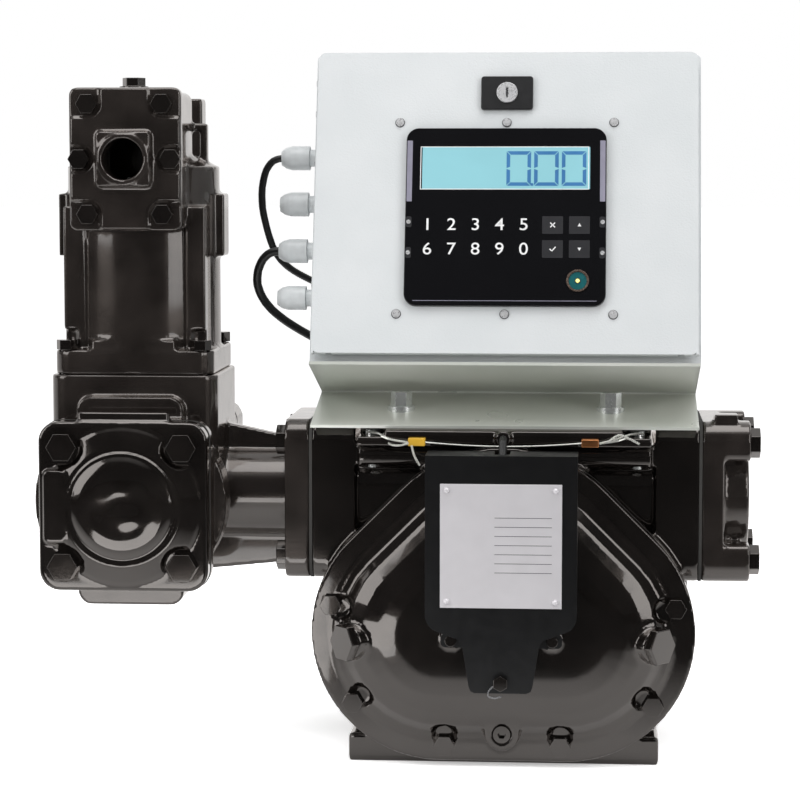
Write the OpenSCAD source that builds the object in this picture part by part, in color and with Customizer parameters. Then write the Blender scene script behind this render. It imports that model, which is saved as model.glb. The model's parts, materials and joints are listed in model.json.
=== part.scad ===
/* [Meter casing] */
// Distance of a lower lobe centre from the middle plane
lobe_x = 39.5; // [38:0.5:42]
// Radius of the ring flange round a lower lobe
lobe_r = 83; // [81:0.5:86]
// Radius of the ring flange over the crown
crown_r = 92; // [90:0.5:94]
// Height of the crown arc's centre over the lobe centres
crown_rise = 26.7; // [25:0.1:29]
// Clearance between the ring flange and the ground
ring_lift = 4.3; // [2:0.1:8]
// Depth of the housing between its two cover faces
housing_d = 134; // [132:1:140]
// Thickness of a ring flange on the housing
housing_ring_t = 14; // [10:0.5:16]
// Thickness of the cover's ring flange
ring_t = 14; // [12:0.5:16]
// Width of the ring flange from its edge to the dome
ring_w = 23; // [21:0.5:25]
// Height of the cover's dome over its ring flange
dome_h = 16; // [14:0.5:18]
// Wall of the cover's dome
dome_wall = 8; // [6:0.5:9]
// Thickness of a joint gasket
gasket_t = 1; // [0.5:0.1:2]
// Width of the mounting foot
foot_w = 200; // [190:1:210]
// Thickness of the mounting foot
foot_t = 18; // [16:0.5:20]
// Spacing of the foot's holes across the meter
foot_hole_x = 180; // [174:1:184]
// Spacing of the foot's holes from front to back
foot_hole_y = 76; // [70:1:80]
// Radius of a hole in the foot
foot_hole_r = 5.5; // [4.5:0.1:6.5]

/* [Pipe flanges] */
// Distance of a port face from the middle plane
port_face = 125; // [123:0.5:130]
// Height of the pipe axis
port_z = 168; // [166:0.5:170]
// Bore of the pipe
port_bore_r = 25; // [23:0.5:27]
// Side of a square pipe flange
port_side = 104; // [100:0.5:108]
// Corner radius of a square pipe flange
port_turn_r = 12; // [8:0.5:16]
// Gap between the register base and a port flange
base_gap = 3; // [2:0.5:6]
// Radius of the socket that takes the pipe
socket_r = 30.2; // [29:0.1:31]
// Depth of the socket that takes the pipe
socket_l = 20; // [16:0.5:24]
// Side of the square of flange bolts
port_pitch = 76; // [74:0.5:78]
// Shank radius of a flange bolt
bolt_r = 5; // [4:0.1:5.5]
// Width across flats of a flange bolt's head
bolt_af = 17; // [15:0.5:18]
// Height of a flange bolt's head
bolt_head = 6.4; // [5:0.1:8]

/* [Measuring rotors] */
// Distance of a displacement rotor from the middle plane
rotor_x = 46; // [45:0.25:48]
// Drop of the displacement rotors under the lobe centres
rotor_drop = 9.3; // [8:0.1:11]
// Depth of the measuring chamber
chamber_d = 84; // [80:1:86]
// Radius of the displacement rotor's hub
hub_r = 22; // [21.8:0.05:22]
// Half width of a vane
vane_half = 7; // [6:0.1:7.2]
// Radius of a pocket in the blocking rotor
pocket_r = 19.5; // [19.5:0.1:20]
// Running gap between rotors and chamber
rotor_gap = 0.3; // [0.3:0.02:0.36]
// Radius of a rotor shaft
shaft_r = 8; // [7:0.25:9]
// Radius of the output shaft
output_r = 5; // [4:0.25:5.5]
// Running clearance of shafts and pins
run_gap = 0.05; // [0.02:0.01:0.08]
// Module of the timing gears
gear_module = 2; // [2:0.01:2.02]
// Teeth on a displacement rotor's gear
pinion_teeth = 22; // [22:22:22]

/* [Drive guard] */
// Width of the guard
guard_w = 95; // [90:0.5:100]
// Height of the guard's lower tip
guard_tip_z = 55; // [52:0.5:58]
// Distance of the guard's face in front of the port plane
guard_y = 115; // [114:0.5:118]
// Thickness of the guard's sheet
guard_t = 1.5; // [1.2:0.1:1.8]
// Width of the nameplate
nameplate_w = 76; // [70:0.5:80]
// Height of the nameplate
nameplate_h = 78; // [72:0.5:82]

/* [Register bracket] */
// Width of the bracket
bracket_w = 248; // [240:1:250]
// Thickness of the bracket's sheet
bracket_t = 2; // [1.5:0.1:2.5]
// Slope of the bracket's lower leg
leg_slope = 12; // [10:0.25:13]
// Distance of the bracket's front edge in front of the port plane
bracket_front = 71; // [68:0.5:74]
// Width of the register base
base_w = 188; // [180:1:194]

/* [Enclosure] */
// Width of the enclosure
box_w = 250; // [244:1:256]
// Height of the enclosure
box_h = 208; // [206:1:214]
// Depth of the enclosure with its door
box_d = 120; // [110:1:124]
// Sheet thickness of the enclosure
sheet_t = 1.5; // [1.2:0.1:2]
// Backward tilt of the enclosure
tilt = 16.5; // [15:0.25:18]
// Width of the door
door_w = 246; // [242:0.5:247]
// Height of the door
door_h = 200; // [198:0.5:201]
// Depth of the door's rim
door_d = 12; // [11.5:0.1:12.5]
// Pitch of the cable glands
gland_pitch = 32; // [30:0.5:34]
// Width of the display unit
display_w = 128.6; // [126:0.2:131]
// Height of the display unit
display_h = 117.6; // [115:0.2:120]

/* [Strainer] */
// Distance of the strainer's axis from the middle plane
strainer_x = 241.5; // [238:0.5:244]
// Radius of the strainer's shoulder behind its front flange
shoulder_r = 62.5; // [61:0.5:63]
// Radius of the strainer's barrel
barrel_r = 56; // [54:0.5:57]
// Radius inside the strainer's barrel
barrel_bore_r = 46; // [45:0.5:47]
// Side of the square strainer cover
cover_side = 108.5; // [106:0.5:110]
// Thickness of the strainer cover
cover_t = 14; // [12:0.5:16]
// Radius of the neck between strainer and meter
neck_r = 29; // [28:0.5:31]

/* [Air eliminator] */
// Height of the joint between strainer and air eliminator
tower_z = 249; // [248:0.5:252]
// Radius of the tapered pot at its foot
pot_foot_r = 53.6; // [52.5:0.1:54]
// Radius of the tapered pot at its shoulder
pot_top_r = 50; // [49:0.1:51]
// Height of the tapered pot's shoulder over the joint
pot_h = 135; // [132:1:138]
// Wall of the pot
pot_wall = 6; // [5:0.5:7]
// Width of the vent head
head_w = 72; // [70:0.5:74]
// Height of the vent head
head_h = 91; // [89:0.5:93]
// Radius of the float
float_r = 26; // [24:0.5:28]

/* [Hidden] */
$fn = 64;
hull_fn = 32;
over = 1;

// Heights and joint planes of the meter
lobe_z = lobe_r + ring_lift;
crown_z = lobe_z + crown_rise;
top_z = crown_z + crown_r;
face_y = housing_d / 2;
port_t = port_face - base_w / 2 - base_gap;
ring_back = face_y + gasket_t;
ring_front = ring_back + ring_t;
dome_front = ring_front + dome_h;

// Rotor layout: the blocking rotor meshes with both displacement rotors
gear_teeth = 2 * pinion_teeth;
centre_distance = gear_module * (gear_teeth + pinion_teeth) / 2;
rotor_z = lobe_z - rotor_drop;
blocking_rise = sqrt(centre_distance * centre_distance - rotor_x * rotor_x);
blocking_z = rotor_z + blocking_rise;
chamber_r = centre_distance - hub_r;
mesh_angle = atan2(blocking_rise, rotor_x);
pocket_pitch = 90;
pocket_offset = chamber_r - 4.5 * gear_module / 2;
chamber_front = -chamber_d / 2 + housing_ring_t / 2;
chamber_back = chamber_front + chamber_d;
plate_t = 10;
plate_y = chamber_front - plate_t;
pocket_inset = ring_w - over;
bush_wall = 3;
gear_w = 9;
gear_y = plate_y - gear_w - over;

// Bolts round the covers
ring_bolt_r = 4;
ring_bolt_af = 12;
ring_bolt_head = 5.5;
ring_bolt_inset = 10.5;
ring_bolt_angles = [166, 219, 272];
crown_bolt_angles = [62];
relief_r = 7.6;
relief_run = 6.5;

// Port passages and the pad for the register base
passage_w = 98;
passage_h = 68;
passage_corner_r = 24;
pad_d = 124;
pad_t = 15.5;
pad_round_share = 0.42;
throat_w = 50;

function polar(r, a) = [r * cos(a), r * sin(a)];
function side(s, p) = [s * p[0], p[1]];

// The angle at which the common tangent touches the lobe and the crown
lobe_to_crown = norm([lobe_x, crown_rise]);
tangent_angle = atan2(crown_rise, -lobe_x) - acos((lobe_r - crown_r) / lobe_to_crown);

module pane(w, h, r) {
    square([w - 2 * r, h], center = true);
    square([w, h - 2 * r], center = true);
    for (x = [-1, 1], y = [-1, 1])
        translate([x * (w / 2 - r), y * (h / 2 - r)]) circle(r);
}

module slab_y(y0, y1) {
    translate([0, y1, 0]) rotate([90, 0, 0]) linear_extrude(y1 - y0) children();
}

module slab_x(x0, x1) {
    translate([x0, 0, 0]) rotate([90, 0, 90]) linear_extrude(x1 - x0) children();
}

module rod_y(x, z, r, y0, y1) {
    translate([x, y1, z]) rotate([90, 0, 0]) cylinder(h = y1 - y0, r = r);
}

module rod_x(y, z, r, x0, x1) {
    translate([x0, y, z]) rotate([0, 90, 0]) cylinder(h = x1 - x0, r = r);
}

module rod_z(x, y, r, z0, z1) {
    translate([x, y, z0]) cylinder(h = z1 - z0, r = r);
}

// The two-lobed ring outline, grown or shrunk by g
module lobed(g) {
    for (s = [-1, 1]) translate([s * lobe_x, lobe_z]) circle(lobe_r + g);
    translate([0, crown_z]) circle(crown_r + g);
    translate([-lobe_x, lobe_z - lobe_r - g]) square([2 * lobe_x, lobe_r + g]);
    low = [lobe_x, lobe_z] + polar(lobe_r + g, tangent_angle);
    high = [0, crown_z] + polar(crown_r + g, tangent_angle);
    polygon([side(-1, low), [-lobe_x, lobe_z], [lobe_x, lobe_z], low, high, side(-1, high)]);
}

// The three overlapping circles of the measuring chamber
module chamber_outline(g) {
    for (s = [-1, 1]) translate([s * rotor_x, rotor_z]) circle(chamber_r + g);
    translate([0, blocking_z]) circle(chamber_r + g);
}

function ring_places(g = 0) = concat(
    [for (s = [-1, 1], a = ring_bolt_angles)
        side(-s, [-lobe_x, lobe_z] + polar(lobe_r - ring_bolt_inset - g, a))],
    [for (s = [-1, 1], a = crown_bolt_angles)
        side(s, [0, crown_z] + polar(crown_r - ring_bolt_inset - g, a))]
);

function corners(pitch) = [for (x = [-1, 1], y = [-1, 1]) [x * pitch / 2, y * pitch / 2]];

// A hexagon bolt along -Z from its seat at the origin, with a flange if flange_r is given
module hex_bolt(r, af, head, length, flange_r = 0) {
    cylinder(h = head, r = af / sqrt(3), $fn = 6);
    translate([0, 0, -length]) cylinder(h = length + head / 2, r = r);
    if (flange_r > 0) cylinder(h = head / 4, r = flange_r);
}

// Meter housing
module meter_housing() color([0.09, 0.09, 0.09]) {
    difference() {
        union() {
            slab_y(-face_y, -face_y + housing_ring_t) lobed(0);
            slab_y(face_y - housing_ring_t, face_y) lobed(0);
            slab_y(-face_y + over, face_y - over) lobed(-housing_ring_t);
            translate([0, 0, foot_t / 2]) cube([foot_w, housing_d, foot_t], center = true);
            slab_x(-port_face + port_t / 2, port_face - port_t / 2)
                translate([0, port_z]) pane(passage_w, passage_h, passage_corner_r);
            for (s = [-1, 1])
                slab_x(s > 0 ? port_face - port_t : -port_face, s > 0 ? port_face : -port_face + port_t)
                    translate([0, port_z]) pane(port_side, port_side, port_turn_r);
            slab_x(-base_w / 2, base_w / 2) translate([0, top_z - pad_t / 2]) {
                pane(pad_d, pad_t, pad_t * pad_round_share);
                translate([0, pad_t / 4]) square([pad_d - pad_t * pad_round_share, pad_t / 2], center = true);
            }
        }
        slab_y(chamber_front - over, chamber_back + over) chamber_outline(0);
        slab_y(-face_y - over, chamber_front) lobed(-pocket_inset);
        slab_y(chamber_back, face_y + over) lobed(-pocket_inset);
        for (s = [-1, 1]) {
            rod_x(0, port_z, port_bore_r, s > 0 ? throat_x : -port_face - over,
                s > 0 ? port_face + over : -throat_x);
            translate([s > 0 ? throat_x : -throat_x - port_bore_r, -throat_w / 2, throat_z])
                cube([port_bore_r, throat_w, port_z - throat_z]);
            for (p = corners(port_pitch))
                rod_x(p[0], port_z + p[1], bolt_r, s > 0 ? port_face - tap_depth : -port_face - over,
                    s > 0 ? port_face + over : -port_face + tap_depth);
        }
        for (p = ring_places(), s = [-1, 1])
            rod_y(p[0], p[1], ring_bolt_r, s > 0 ? face_y - housing_ring_t - over : -face_y - over,
                s > 0 ? face_y + over : -face_y + housing_ring_t + over);
        for (x = [-1, 1], y = [-1, 1])
            rod_z(x * foot_hole_x / 2, y * foot_hole_y / 2, foot_hole_r, -over, foot_t + over);
        for (p = base_places()) rod_z(p[0], p[1], base_screw_r, top_z - pad_t, top_z + over);
        for (s = [-1, 1])
            rod_z(s * bracket_bolt_x, bracket_bolt_y, ring_bolt_r, top_z - pad_t / 2, top_z + over);
    }
}
throat_x = rotor_x;
throat_z = rotor_z + shaft_r + hub_r + bush_wall;
tap_depth = port_t - 2 * over;
base_screw_r = 3;
base_screw_head_r = 4.8;
bracket_bolt_x = 68;
bracket_bolt_y = -36;
base_screw_x = base_w / 2 - 3 * base_screw_r;
base_screw_front = -pad_d / 2 + 2 * base_screw_r;
function base_places() = [for (x = [-1, 1], y = [-1, 1]) [x * base_screw_x, y * -base_screw_front]];

// A bearing plate that closes one end of the measuring chamber
module bearing_plate(y0) {
    difference() {
        slab_y(y0, y0 + plate_t) lobed(-pocket_inset);
        for (p = rotor_axes()) rod_y(p[0], p[1], shaft_r + bush_wall, y0 - over, y0 + plate_t + over);
    }
}
function rotor_axes() = [[0, blocking_z], [-rotor_x, rotor_z], [rotor_x, rotor_z]];

module front_bearing_plate() color([0.5, 0.5, 0.52]) bearing_plate(plate_y);

module rear_bearing_plate() color([0.5, 0.5, 0.52]) bearing_plate(chamber_back);

// Bushes pressed into both plates, two for each rotor
module rotor_bushes() color([0.72, 0.55, 0.3]) {
    for (p = rotor_axes(), y0 = [plate_y, chamber_back])
        difference() {
            rod_y(p[0], p[1], shaft_r + bush_wall, y0, y0 + plate_t);
            rod_y(p[0], p[1], shaft_r + run_gap, y0 - over, y0 + plate_t + over);
        }
}

rotor_front = chamber_front + rotor_gap;
rotor_back = chamber_back - rotor_gap;
shaft_end = gear_y - over;

module blocking_rotor() color([0.62, 0.63, 0.65]) {
    difference() {
        rod_y(0, blocking_z, chamber_r - rotor_gap, rotor_front, rotor_back);
        for (k = [0:3]) {
            c = [0, blocking_z] + polar(pocket_offset, pocket_pitch * (k + 0.5));
            rod_y(c[0], c[1], pocket_r, rotor_front - over, rotor_back + over);
        }
    }
    rod_y(0, blocking_z, shaft_r, shaft_end, chamber_back + plate_t);
}

// Rest angle of a vane so that it enters a pocket as the rotors turn at two to one
vane_phase = mesh_angle + 2 * (mesh_angle - pocket_pitch / 2);

module displacement_rotor(s) {
    translate([s * rotor_x, 0, rotor_z]) {
        slab_y(rotor_front, rotor_back) {
            circle(hub_r);
            intersection() {
                circle(chamber_r - rotor_gap);
                rotate(-s * vane_phase) square([3 * chamber_r, 2 * vane_half], center = true);
            }
        }
        rod_y(0, 0, shaft_r, shaft_end, chamber_back + plate_t);
    }
}

module left_displacement_rotor() color([0.66, 0.67, 0.69]) displacement_rotor(-1);

module right_displacement_rotor() color([0.66, 0.67, 0.69]) displacement_rotor(1);

// A spur gear outline with straight flanks, a tooth on +X
addendum_share = 0.95;
dedendum_share = 1.2;
root_share = 0.33;
pitch_share = 0.235;
tip_share = 0.12;
module gear_outline(teeth) {
    pitch_r = gear_module * teeth / 2;
    step = 360 / teeth;
    polygon([for (k = [0:teeth - 1], q = [
        [-root_share, -dedendum_share], [-pitch_share, 0], [-tip_share, addendum_share],
        [tip_share, addendum_share], [pitch_share, 0], [root_share, -dedendum_share]])
        polar(pitch_r + gear_module * q[1], step * (k + q[0]))]);
}

module timing_gear(x, z, teeth, turn) {
    translate([x, gear_y + gear_w, z]) rotate([90, 0, 0])
        difference() {
            linear_extrude(gear_w) rotate(turn) gear_outline(teeth);
            translate([0, 0, -over]) cylinder(h = gear_w + 2 * over, r = shaft_r);
        }
}

// The big gear keeps a tooth on +X and the small gears turn so that a gap meets its nearest tooth
big_step = 360 / gear_teeth;
tooth_lag = mesh_angle - big_step * round(mesh_angle / big_step);
small_turn = 180 - mesh_angle + 360 / pinion_teeth / 2 - 2 * tooth_lag;

module blocking_gear() color([0.7, 0.66, 0.5]) timing_gear(0, blocking_z, gear_teeth, 0);

module right_rotor_gear() color([0.55, 0.56, 0.58]) timing_gear(rotor_x, rotor_z, pinion_teeth, small_turn);

module left_rotor_gear() color([0.55, 0.56, 0.58])
    timing_gear(-rotor_x, rotor_z, pinion_teeth, 180 - small_turn);

pipe_gasket_t = 2 * gasket_t;
neck_face = port_face + pipe_gasket_t;
module pipe_gasket(x0) {
    difference() {
        slab_x(x0, x0 + pipe_gasket_t) translate([0, port_z])
            pane(port_side, port_side, port_turn_r);
        rod_x(0, port_z, port_bore_r, x0 - over, x0 + pipe_gasket_t + over);
        for (p = corners(port_pitch))
            rod_x(p[0], port_z + p[1], bolt_r, x0 - over, x0 + pipe_gasket_t + over);
    }
}

module cover_gasket(y0) {
    difference() {
        slab_y(y0, y0 + gasket_t) lobed(0);
        slab_y(y0 - over, y0 + gasket_t + over) lobed(-pocket_inset);
        for (p = ring_places()) rod_y(p[0], p[1], ring_bolt_r, y0 - over, y0 + gasket_t + over);
    }
}

module joint_gaskets() color([0.25, 0.24, 0.22]) {
    cover_gasket(-ring_back);
    cover_gasket(face_y);
    pipe_gasket(port_face);
    pipe_gasket(-neck_face);
    difference() {
        slab_y(-barrel_front, -barrel_front + gasket_t)
            translate([-strainer_x, port_z]) pane(cover_side, cover_side, port_turn_r);
        rod_y(-strainer_x, port_z, barrel_bore_r, -barrel_front - over, -barrel_front + gasket_t + over);
        for (p = corners(cover_pitch))
            rod_y(-strainer_x + p[0], port_z + p[1], bolt_r, -barrel_front - over,
                -barrel_front + gasket_t + over);
    }
}

// The dome: a low fillet band inside the bolt circle, then one smooth shell up to the flat face
ring_flat = 14;
fillet_run = 6;
flank_run = [5, 11, 20, 30, 42];
flank_shares = [0.14, 0.5, 0.76, 0.92, 1];
module dome(inset, height, y0) {
    hull() {
        slab_y(-y0 - over, -y0 + over) lobed(-ring_flat - inset, $fn = hull_fn);
        slab_y(-y0 - height * flank_shares[0], -y0) lobed(-ring_flat - inset - fillet_run, $fn = hull_fn);
    }
    hull() for (k = [0:len(flank_run) - 1])
        slab_y(-y0 - height * flank_shares[k], -y0) lobed(-ring_flat - inset - flank_run[k], $fn = hull_fn);
}

gland_boss_r = 21;
gland_r = 12;
gland_flange_t = 2;
boss_front = dome_front + 2 * over;
drain_r = 11;
drain_z = 23.5;
plug_af = 22;
plug_x = 97.5;
plug_y = 93;
plug_drop = 5;
plug_z = lobe_z - plug_drop;
plug_out = 12;

module front_cover() color([0.09, 0.09, 0.09]) {
    difference() {
        union() {
            slab_y(-ring_front, -ring_back) lobed(0);
            dome(0, dome_h, ring_front);
            rod_y(0, blocking_z, gland_boss_r, -boss_front, -ring_front);
            rod_y(0, drain_z, drain_r, -ring_front - dome_h / 2, -ring_front);
            translate([-drain_r, -ring_front - dome_h / 2, drain_z])
                cube([2 * drain_r, dome_h / 2, drain_r]);
            for (s = [-1, 1])
                plug_frame(s) translate([0, 0, -plug_out]) cylinder(h = plug_out, r = plug_af / 2);
            for (s = [-1, 1]) rod_y(s * ear_x, ear_z, ear_boss_r, -ear_y, -ring_front);
            rod_y(0, nose_z, ear_boss_r, -guard_y + guard_t, -ring_front);
        }
        slab_y(-ring_front, -ring_back + over) lobed(-ring_w - dome_wall - over);
        dome(ring_w - ring_flat + dome_wall, dome_h - dome_wall, ring_front);
        rod_y(0, blocking_z, gland_r, -boss_front - over, -ring_back);
        rod_y(0, drain_z, drain_r / 2, -ring_front - dome_h, -ring_front - over);
        for (p = ring_places()) rod_y(p[0], p[1], ring_bolt_r, -ring_front - over, -ring_back + over);
        for (g = [0, relief_run / 2, relief_run], p = ring_places(g))
            rod_y(p[0], p[1], relief_r, -dome_front - over, -ring_front);
    }
}

// Where a side plug stands on the dome's flank, its axis leaning outward and forward
plug_lean = 50;
module plug_frame(s) {
    translate([s * plug_x, -plug_y, plug_z]) rotate([90, 0, 0]) rotate([0, s * plug_lean, 0]) children();
}

module side_plugs() color([0.1, 0.1, 0.1]) {
    for (s = [-1, 1]) plug_frame(s) {
        cylinder(h = over, r = plug_af / 2);
        cylinder(h = plug_out / 2, r = plug_af / sqrt(3), $fn = 6);
    }
}

module drain_plug() color([0.16, 0.16, 0.16]) {
    difference() {
        rod_y(0, drain_z, drain_r / 2, -ring_front - dome_h / 2 - over, -ring_front - over);
        translate([0, -ring_front - dome_h / 4, drain_z]) rotate([90, 0, 0])
            cylinder(h = dome_h, r = drain_r / 4, $fn = 6);
    }
}

rear_dome_h = 9;
module rear_cover() color([0.09, 0.09, 0.09]) {
    difference() {
        union() {
            slab_y(ring_back, ring_front) lobed(0);
            slab_y(ring_front - over, ring_front + rear_dome_h / 2) lobed(-ring_w);
            slab_y(ring_front, ring_front + rear_dome_h) lobed(-ring_w - rear_dome_h / 2);
        }
        slab_y(ring_back - over, ring_front) lobed(-ring_w - dome_wall);
        for (p = ring_places()) rod_y(p[0], p[1], ring_bolt_r, ring_back - over, ring_front + over);
        for (p = ring_places())
            rod_y(p[0], p[1], relief_r, ring_front, ring_front + rear_dome_h + over);
    }
}

module cover_bolts() color([0.12, 0.12, 0.12]) {
    for (p = ring_places(), s = [-1, 1])
        translate([p[0], s * ring_front, p[1]]) rotate([-s * 90, 0, 0])
            hex_bolt(ring_bolt_r, ring_bolt_af, ring_bolt_head, ring_t + gasket_t + housing_ring_t);
}

module packing_gland() color([0.7, 0.6, 0.35]) {
    difference() {
        union() {
            rod_y(0, blocking_z, gland_r, -boss_front, -ring_back);
            rod_y(0, blocking_z, gland_boss_r, -boss_front - gland_flange_t, -boss_front);
        }
        rod_y(0, blocking_z, output_r + run_gap, -boss_front - gland_flange_t - over, -ring_back + over);
    }
}

gland_face = boss_front + gland_flange_t;
disc_r = 14;
disc_t = 2.5;
disc_gap = 0.8;
pulser_front = guard_y - guard_t - over;
module output_shaft() color([0.62, 0.63, 0.65]) {
    rod_y(0, blocking_z, output_r, -gland_face - disc_gap - disc_t, shaft_end);
    rod_y(0, blocking_z, disc_r, -gland_face - disc_gap - disc_t, -gland_face - disc_gap);
}

pulser_r = gland_boss_r;
lead_r = 2.5;
stub_h = 6;
module pulse_transmitter() color([0.2, 0.21, 0.23]) {
    difference() {
        union() {
            rod_y(0, blocking_z, pulser_r, -pulser_front, -gland_face);
            rod_z(0, lead_y, 2 * lead_r, blocking_z + pulser_r / 2, lead_start);
        }
        rod_y(0, blocking_z, disc_r + 2 * over, -gland_face - 2 * disc_gap - disc_t, -gland_face + over);
    }
}
lead_y = -(gland_face + pulser_front) / 2 - over / 4;
lead_start = blocking_z + pulser_r + stub_h;

// A tube of n sides swept along points; each ring stands square to the route there
function unit(v) = v / norm(v);
function heading(p, i) = unit(p[min(i + 1, len(p) - 1)] - p[max(i - 1, 0)]);
function spread(t) = abs(t[2]) < 0.9 ? unit(cross(t, [0, 0, 1])) : unit(cross(t, [1, 0, 0]));
function carried(a, t) = unit(a - (a * t) * t);
function ring_axis(p, i, a) = i == 0 ? a : carried(ring_axis(p, i - 1, a), heading(p, i));
module tube(p, r, n) {
    a0 = spread(heading(p, 0));
    rings = [for (i = [0:len(p) - 1])
        let (t = heading(p, i), a = ring_axis(p, i, a0), b = cross(t, a))
        [for (k = [0:n - 1]) p[i] + r * cos(360 * k / n) * a + r * sin(360 * k / n) * b]];
    points = [for (ring = rings, q = ring) q];
    m = len(p);
    sides = [for (i = [0:m - 2], k = [0:n - 1])
        let (j = (k + 1) % n) each [
            [i * n + k, (i + 1) * n + k, (i + 1) * n + j],
            [i * n + k, (i + 1) * n + j, i * n + j]]];
    start = [for (k = [1:n - 2]) [0, k, k + 1]];
    end = [for (k = [1:n - 2]) [(m - 1) * n, (m - 1) * n + k + 1, (m - 1) * n + k]];
    polyhedron(points = points, faces = concat(sides, start, end), convexity = 10);
}

// Route of the pulser's lead, from its stub up behind the guard and back into the base
base_floor_t = 11;
lead_exit_z = top_z + base_floor_t / 2;
lead_route = [
    [0, lead_y, lead_start], [0, lead_y, lead_start + 2 * lead_r], [0, -106, 164], [0, -102, 174],
    [0, -98, 184], [0, -94, 194], [0, -91, 203], [0, -87.5, lead_exit_z - lead_r / 2],
    [0, -83.5, lead_exit_z], [0, -79.5, lead_exit_z]
];
module pulser_lead() color([0.05, 0.05, 0.05]) tube(lead_route, lead_r, 8);

// Drive guard: a tray of sheet with a tapered lower end, open towards the cover
guard_top = top_z - guard_t;
guard_depth = guard_y - ring_front - 2 * guard_t;
guard_turn_r = 11;
shoulder_z = 104;
shoulder_turn = 70;
waist = [26, 88.5];
waist_low = [24, 84.5];
tip_x = 20;
tip_r = 4;
arc_step = 14;
function guard_side(g) = concat(
    [[guard_w / 2 + g, guard_top + g]],
    [for (a = [0:arc_step:shoulder_turn])
        [guard_w / 2 - guard_turn_r, shoulder_z] + polar(guard_turn_r + g, -a)],
    [waist + [g / 2, -g], waist_low + [g, -g / 2]],
    [for (a = [0:3 * arc_step:90]) [tip_x - tip_r, guard_tip_z + tip_r] + polar(tip_r + g, -a)],
    [[tip_x - tip_r, guard_tip_z - g]]
);
module guard_outline(g) {
    right = guard_side(g);
    polygon(concat(right, [for (i = [len(right) - 1:-1:0]) side(-1, right[i])]));
}
ear_x = 32;
ear_z = 86;
ear_boss_r = 5;
ear_y = 101;
ear_w = 19;
ear_h = 9;
ear_inset = 3.2;
wall_step_z = 168;
nose_rise = 6.8;
nose_z = guard_tip_z + nose_rise;
screw_r = 2.5;
screw_head_r = 3.7;
nose_af = 8.7;
notch_w = 10;
module drive_guard() color([0.06, 0.06, 0.06]) {
    difference() {
        slab_y(-guard_y, -guard_y + guard_depth) guard_outline(0);
        slab_y(-guard_y + guard_t, -ring_front + over) guard_outline(-guard_t);
        slab_y(-ear_y, -ring_front) translate([-guard_w / 2 - over, 0])
            square([guard_w + 2 * over, shoulder_z]);
        slab_y(-dome_front - over, -ring_front) translate([-guard_w / 2 - over, 0])
            square([guard_w + 2 * over, wall_step_z]);
        translate([-notch_w / 2, -guard_y + notch_w, guard_top - 2 * guard_t])
            cube([notch_w, guard_depth, 3 * guard_t]);
        for (p = rivet_places()) rod_y(p[0], p[1], rivet_r, -guard_y - over, -guard_y + guard_t + over);
        rod_y(0, nose_z, screw_r, -guard_y - over, -guard_y + guard_t + over);
    }
    for (s = [-1, 1])
        difference() {
            slab_y(-ear_y - guard_t, -ear_y) translate([s * (ear_x - ear_inset), ear_z])
                pane(ear_w, ear_h, ear_h / 3);
            rod_y(s * ear_x, ear_z, screw_r, -ear_y - 2 * guard_t, -ear_y + over);
        }
}

module guard_screws() color([0.3, 0.3, 0.3]) {
    for (s = [-1, 1])
        translate([s * ear_x, -ear_y - guard_t, ear_z]) rotate([90, 0, 0]) {
            cylinder(h = screw_r, r = screw_head_r);
            translate([0, 0, -guard_t]) cylinder(h = guard_t + over, r = screw_r);
        }
    translate([0, -guard_y, nose_z]) rotate([90, 0, 0]) rotate(30)
        hex_bolt(screw_r, nose_af, 2 * screw_r, guard_t);
}

nameplate_t = 0.8;
nameplate_z = 148;
rivet_r = 1.2;
rivet_head_r = 1.9;
rivet_inset = 4;
function rivet_places() = [for (x = [-1, 1], z = [-1, 1])
    [x * (nameplate_w / 2 - rivet_inset), nameplate_z + z * (nameplate_h / 2 - rivet_inset)]];
module nameplate() color([0.8, 0.8, 0.82]) {
    difference() {
        slab_y(-guard_y - nameplate_t, -guard_y) translate([0, nameplate_z])
            square([nameplate_w, nameplate_h], center = true);
        for (p = rivet_places()) rod_y(p[0], p[1], rivet_r, -guard_y - 2 * nameplate_t, -guard_y + over);
    }
}

module nameplate_rivets() color([0.75, 0.75, 0.77]) {
    for (p = rivet_places()) {
        rod_y(p[0], p[1], rivet_r, -guard_y - nameplate_t, -guard_y + guard_t);
        translate([p[0], -guard_y - nameplate_t, p[1]]) rotate([90, 0, 0])
            rotate_extrude() intersection() {
                circle(rivet_head_r);
                square(rivet_head_r + over);
            }
    }
}

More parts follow.
